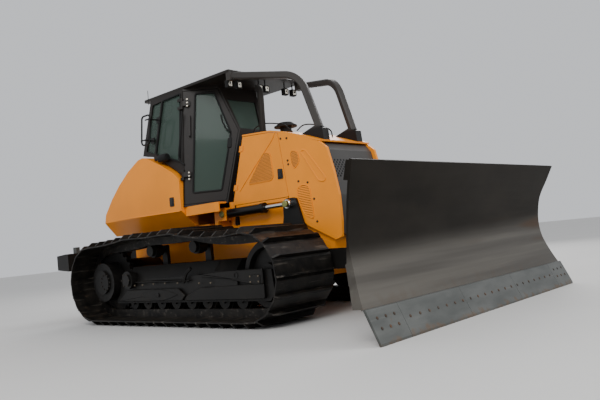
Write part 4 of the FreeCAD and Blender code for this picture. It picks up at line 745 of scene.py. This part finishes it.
# two hoses over the hood
hoses = {
    "rear": [
        (2.10, -0.30, 2.29), (2.15, -0.30, 2.36), (2.212, -0.30, 2.385), (2.319, -0.30, 2.397),
        (2.471, -0.30, 2.373), (2.665, -0.30, 2.32), (2.753, -0.30, 2.249), (2.80, -0.30, 2.205),
    ],
    "front": [
        (2.831, -0.25, 2.215), (2.95, -0.25, 2.262), (3.128, -0.25, 2.232),
        (3.28, -0.25, 2.169), (3.36, -0.25, 2.111), (3.373, -0.25, 2.03),
    ],
    "radius": 0.008,
}
hoodHoses = join([tube(smoothLine(hoses[k]), hoses["radius"]) for k in ("rear", "front")])
addPiece("hoodHoses", hoodHoses, "frame_black", "tractor", "rubber")
print("lamps and hoses made")

# a seat on a sloping face: u along y, v up the slope from its foot to its head, h square to it, forward
def slopeSeat(foot, head):
    up = np.array([head[0] - foot[0], 0, head[1] - foot[1]])
    up /= np.linalg.norm(up)
    return (foot[0], 0, foot[1]), (0, 1, 0), up, (up[2], 0, -up[0])


# cutting edge: plough bolts, six on each end bit and a row on the middle lengths, square to the slanted face
edge = {
    "low": (5.075, 0.022), "high": (4.956, 0.285), "rowHalf": 1.52, "rowCount": 21, "rowHigh": 0.15,
    "endWide": (1.72, 1.84, 1.96), "endHigh": (0.115, 0.205),
}
middle = [(y, edge["rowHigh"]) for y in np.linspace(-edge["rowHalf"], edge["rowHalf"], edge["rowCount"])]
ends = [(side * y, v) for side in (-1, 1) for y in edge["endWide"] for v in edge["endHigh"]]
edgeBolts = bolts(middle + ends, slopeSeat(edge["low"], edge["high"]), 0.026, 0.0045)
addPiece("edgeBolts", edgeBolts, "edge_steel", "blade", "bolt_dark")
print("blade dressed")

# track frames: sloping lower guards, an eye-shaped pad, the ledge and its bolts, a strut, the recoil cover
trackFrame = {
    "rearGuard": [(0.16, 0.29), (0.40, 0.440), (1.50, 0.437), (1.63, 0.345), (1.56, 0.285)],
    "frontGuard": [(1.60, 0.285), (1.68, 0.350), (1.92, 0.436), (3.02, 0.455), (3.02, 0.290)],
    "cover": [
        (1.94, 0.600), (2.44, 0.618), (3.02, 0.618), (3.02, 0.455), (2.90, 0.440), (2.46, 0.520),
        (1.99, 0.560),
    ],
    "coverPlate": [(2.813, 0.558), (2.985, 0.556), (2.985, 0.462), (2.813, 0.464)],
    "plateBolts": [(2.835, 0.54), (2.963, 0.54), (2.835, 0.48), (2.963, 0.48)],
    "coverHole": (2.60, 0.560),
    "holeSection": [(0.036, 0.018), (0.036, 0.026), (0.026, 0.026), (0.024, 0.016)],
    "eye": (1.10, 0.362), "eyeHalf": (0.40, 0.072),
    "eyeBoss": [(0.028, 0.018), (0.028, 0.030), (0.018, 0.033)],
    "ledge": [(0.52, 0.537), (1.10, 0.535), (1.74, 0.525)],
    "strut": [(1.628, 0.505, 0.008), (1.700, 0.62, 0.012), (1.79, 0.675, 0.008)],
    "bolts": [
        (0.56, 0.497), (0.744, 0.500), (0.989, 0.506), (1.236, 0.508), (1.495, 0.504), (1.917, 0.489),
        (2.129, 0.487),
    ],
}


# a lens-shaped outline: half a wave above and below its own axis
def lensLine(centre, half, count=20):
    t = np.linspace(0, 1, count, endpoint=False)
    upper = np.stack([-half[0] + 2 * half[0] * t, half[1] * np.sin(math.pi * t)], 1)
    return np.concatenate([-upper, upper]) + centre


guards = [
    plate(rounded(trackFrame[k], 0.02), "frame", -0.004, 0.014, 0.006) for k in ("rearGuard", "frontGuard")
]
addBoth("frameGuards", join(guards + [
    plate(rounded(trackFrame["cover"], 0.012, 4), "frame", -0.004, 0.020, 0.008),
    plate(rounded(trackFrame["coverPlate"], 0.008, 4), "frame", 0.018, 0.028, 0.003),
    turnedPiece(trackFrame["coverHole"], trackFrame["holeSection"], "frame"),
    plate(lensLine(trackFrame["eye"], trackFrame["eyeHalf"]), "frame", 0.012, 0.020, 0.004),
    turnedPiece(trackFrame["eye"], trackFrame["eyeBoss"], "frame", 6),
    beadOn("frame", trackFrame["ledge"], 0.030, 0.020, -0.002),
    tube(stand("frame", trackFrame["strut"]), 0.020, 6),
]), "frame_black")
addBoth("frameBolts", join([
    bolts(trackFrame["bolts"], "frame", 0.020, 0.012),
    bolts(trackFrame["plateBolts"], "frame", 0.018, 0.008, 0.027),
]), "frame_black", None, "bolt_tan")

# final drive and pivot cap: a ring of bolts on each
for name, x, z, face, radius, count in [
    ("driveBolts", 0.0, 0.566, 1.3405, 0.105, 12),
    ("capBolts", 0.46, 0.575, 1.3195, 0.085, 6),
]:
    ring = bolts(circlePlaces(x, z, radius, count), sideSeat(-face), 0.020, 0.010)
    addBoth(name, ring, "frame_black", None, "bolt_dark")
print("undercarriage dressed")

# lift pins: olive caps on the pins of the levers and of the hull's brackets
for name, x, z, y, radius, shoulder, slot, body in [
    ("liftPinCap", 2.85, 1.317, -0.6195, 0.040, 0.034, "frame_black", "lift_rod"),
    ("bracketPinCap", 1.722, 1.308, -0.6235, 0.044, 0.036, "body_paint", "lift_barrel"),
]:
    section = [(radius, -0.002), (radius, 0.008), (shoulder, 0.014), (0.012, 0.016)]
    addBoth(name, turnedPiece((x, z), section, sideSeat(y)), slot, body, "olive_paint")

# nose: round punched holes in staggered rows, full above and left out round the middle further down
nose = {
    "foot": (3.4762, 1.5898), "head": (3.4062, 1.8898), "top": 1.755, "rows": 8, "perSide": 8, "pitch": 0.056,
    "rise": 0.027, "hole": 0.0125, "half": 0.405, "full": 1.69, "gapHalf": 0.17,
    "dimple": [(1.0, -1.0), (1.0, 0.25), (0.9, 0.35), (0.8, 0.2)],
}
noseSeat = slopeSeat(nose["foot"], nose["head"])
columns = np.arange(-nose["perSide"], nose["perSide"] + 1)
rowNumber, holeNumber = np.meshgrid(np.arange(nose["rows"]), columns, indexing="ij")
holeY = (holeNumber + 0.5 * (rowNumber % 2)) * nose["pitch"]
holeZ = nose["top"] - rowNumber * nose["rise"]
outside = abs(holeY) > nose["gapHalf"] + nose["full"] - holeZ
kept = (abs(holeY) < nose["half"]) & ((holeZ > nose["full"]) | outside)
holes = np.stack([holeY[kept], (holeZ[kept] - nose["foot"][1]) / noseSeat[2][2]], 1)
# each hole is a shallow dimple painted near-black: painted shade where the hole shows only dark
noseHoles = bolts(holes, noseSeat, nose["hole"], 0.004, 0.0, 12, nose["dimple"])
addPiece("noseHoles", noseHoles, "nose_paint", "tractor", "hole_shade")
print("nose dressed")


# the seat's pads: height is half the thickness, eased to nothing by a sixth power at the four sides, grooved
# by bell curves, plus a crown that falls off as one less the square; the sides are pinched by cosines
def pad(centre, half, crown, channels, axes, count=48):
    u = np.linspace(-1, 1, count)
    a, b = np.meshgrid(u, u, indexing="ij")
    ease = (1 - abs(a) ** 6) * (1 - abs(b) ** 6)
    pull = 1 - 0.055 * (np.cos(math.pi * a) * (abs(b) > 0.9) + np.cos(math.pi * b) * (abs(a) > 0.9))
    groove = 1 - 0.16 * np.exp(-((((a * channels) % 1.0) - 0.5) / 0.10) ** 2)
    top = half[2] * (ease ** 0.5) * groove + crown * (1 - a ** 2) * (1 - b ** 2)
    low = -half[2] * (ease ** 0.5)
    across, along, out = (np.array(v, float) for v in axes)
    flat = np.array(centre) + (a * pull * half[0])[..., None] * across
    flat = flat + (b * pull * half[1])[..., None] * along
    faces = gridFaces(count, count, False, False)
    points = np.concatenate([(flat + height[..., None] * out).reshape(-1, 3) for height in (top, low)])
    return shape(points, faces, faces[:, ::-1] + count * count)


# points that round to the same hundredth of a millimetre become one, which closes a pad round its sides
def welded(made):
    keys, back = np.unique(np.round(made[0], 5), axis=0, return_inverse=True)
    return keys, made[1], back.ravel()[made[2]]


# cushion and back on the CAD seat's own place, over a pedestal in bellows
seat = {
    "cushion": {
        "centre": (0.875, 0.0, 2.00), "half": (0.255, 0.25, 0.065), "crown": 0.012, "channels": 2,
        "axes": ((1, 0, 0), (0, 1, 0), (0, 0, 1)),
    },
    "back": {
        "centre": (0.63, 0.0, 2.345), "half": (0.295, 0.24, 0.065), "crown": 0.02, "channels": 2.5,
        "axes": ((-0.10, 0, 0.995), (0, 1, 0), (0.995, 0, 0.10)),
    },
    "base": ((0.875, 0, 1.51), (1, 0, 0), (0, 1, 0), (0, 0, 1)),
    "baseTall": 0.43, "folds": 5, "foldDeep": 0.012,
}
cushion = addPiece("seatCushion", welded(pad(**seat["cushion"])), "seat_cloth", sharp=80)
back = addPiece("seatBack", welded(pad(**seat["back"])), "seat_cloth", sharp=80)
pedestal = rounded([(-0.17, -0.18), (0.17, -0.18), (0.17, 0.18), (-0.17, 0.18)], 0.04)
share = np.linspace(0, 1, 25)
inset = seat["foldDeep"] * np.cos(share * 2 * math.pi * seat["folds"])
folds = np.stack([inset, share * seat["baseTall"]], 1)
base = addPiece("seatBase", lidded(pedestal, folds, seat["base"]), "console_plastic", "tractor", "rubber")
for piece in (cushion, back, base):
    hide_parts("seat")
print("seat made")


# a pale floor, 120 metres square
def stageFloor():
    finish = Finish("studio_floor", Metallic=0.0)
    base = finish.blend(finish.noise(0.4, 3.0), (0.60, 0.59, 0.57), (0.65, 0.64, 0.62))
    finish.feed(Base_Color=base, Roughness=finish.noise(2.0) * 0.1 + 0.7)
    half = 60.0
    data = bpy.data.meshes.new("floor")
    corners = [(-half, -half, 0), (half, -half, 0), (half, half, 0), (-half, half, 0)]
    data.from_pydata(corners, [], [(0, 1, 2, 3)])
    data.materials.append(finishes["studio_floor"])
    floor = bpy.data.objects.new("floor", data)
    bpy.context.scene.collection.objects.link(floor)


stageFloor()


# an even pale sky and three large soft lamps aimed at the machine's middle
def lightStudio():
    world = bpy.data.worlds.new("studio")
    bpy.context.scene.world = world
    world.use_nodes = True
    world.node_tree.nodes["Background"].inputs[0].default_value = (0.90, 0.92, 0.96, 1)
    world.node_tree.nodes["Background"].inputs[1].default_value = 0.80
    for name, place, size, power in (
        ("key", (6.0, -9.0, 8.5), 6.0, 800.0), ("rim", (-4.0, 9.0, 7.0), 8.0, 700.0),
        ("front", (11.0, 3.0, 5.0), 6.0, 420.0),
    ):
        data = bpy.data.lights.new(name, "AREA")
        data.size, data.energy = size, power
        lamp = bpy.data.objects.new(name, data)
        bpy.context.scene.collection.objects.link(lamp)
        aim = (Vector((0.4, 0, 1.1)) - Vector(place)).to_track_quat("-Z", "Y")
        lamp.matrix_world = Matrix.Translation(place) @ aim.to_matrix().to_4x4()


lightStudio()
print("studio lit")
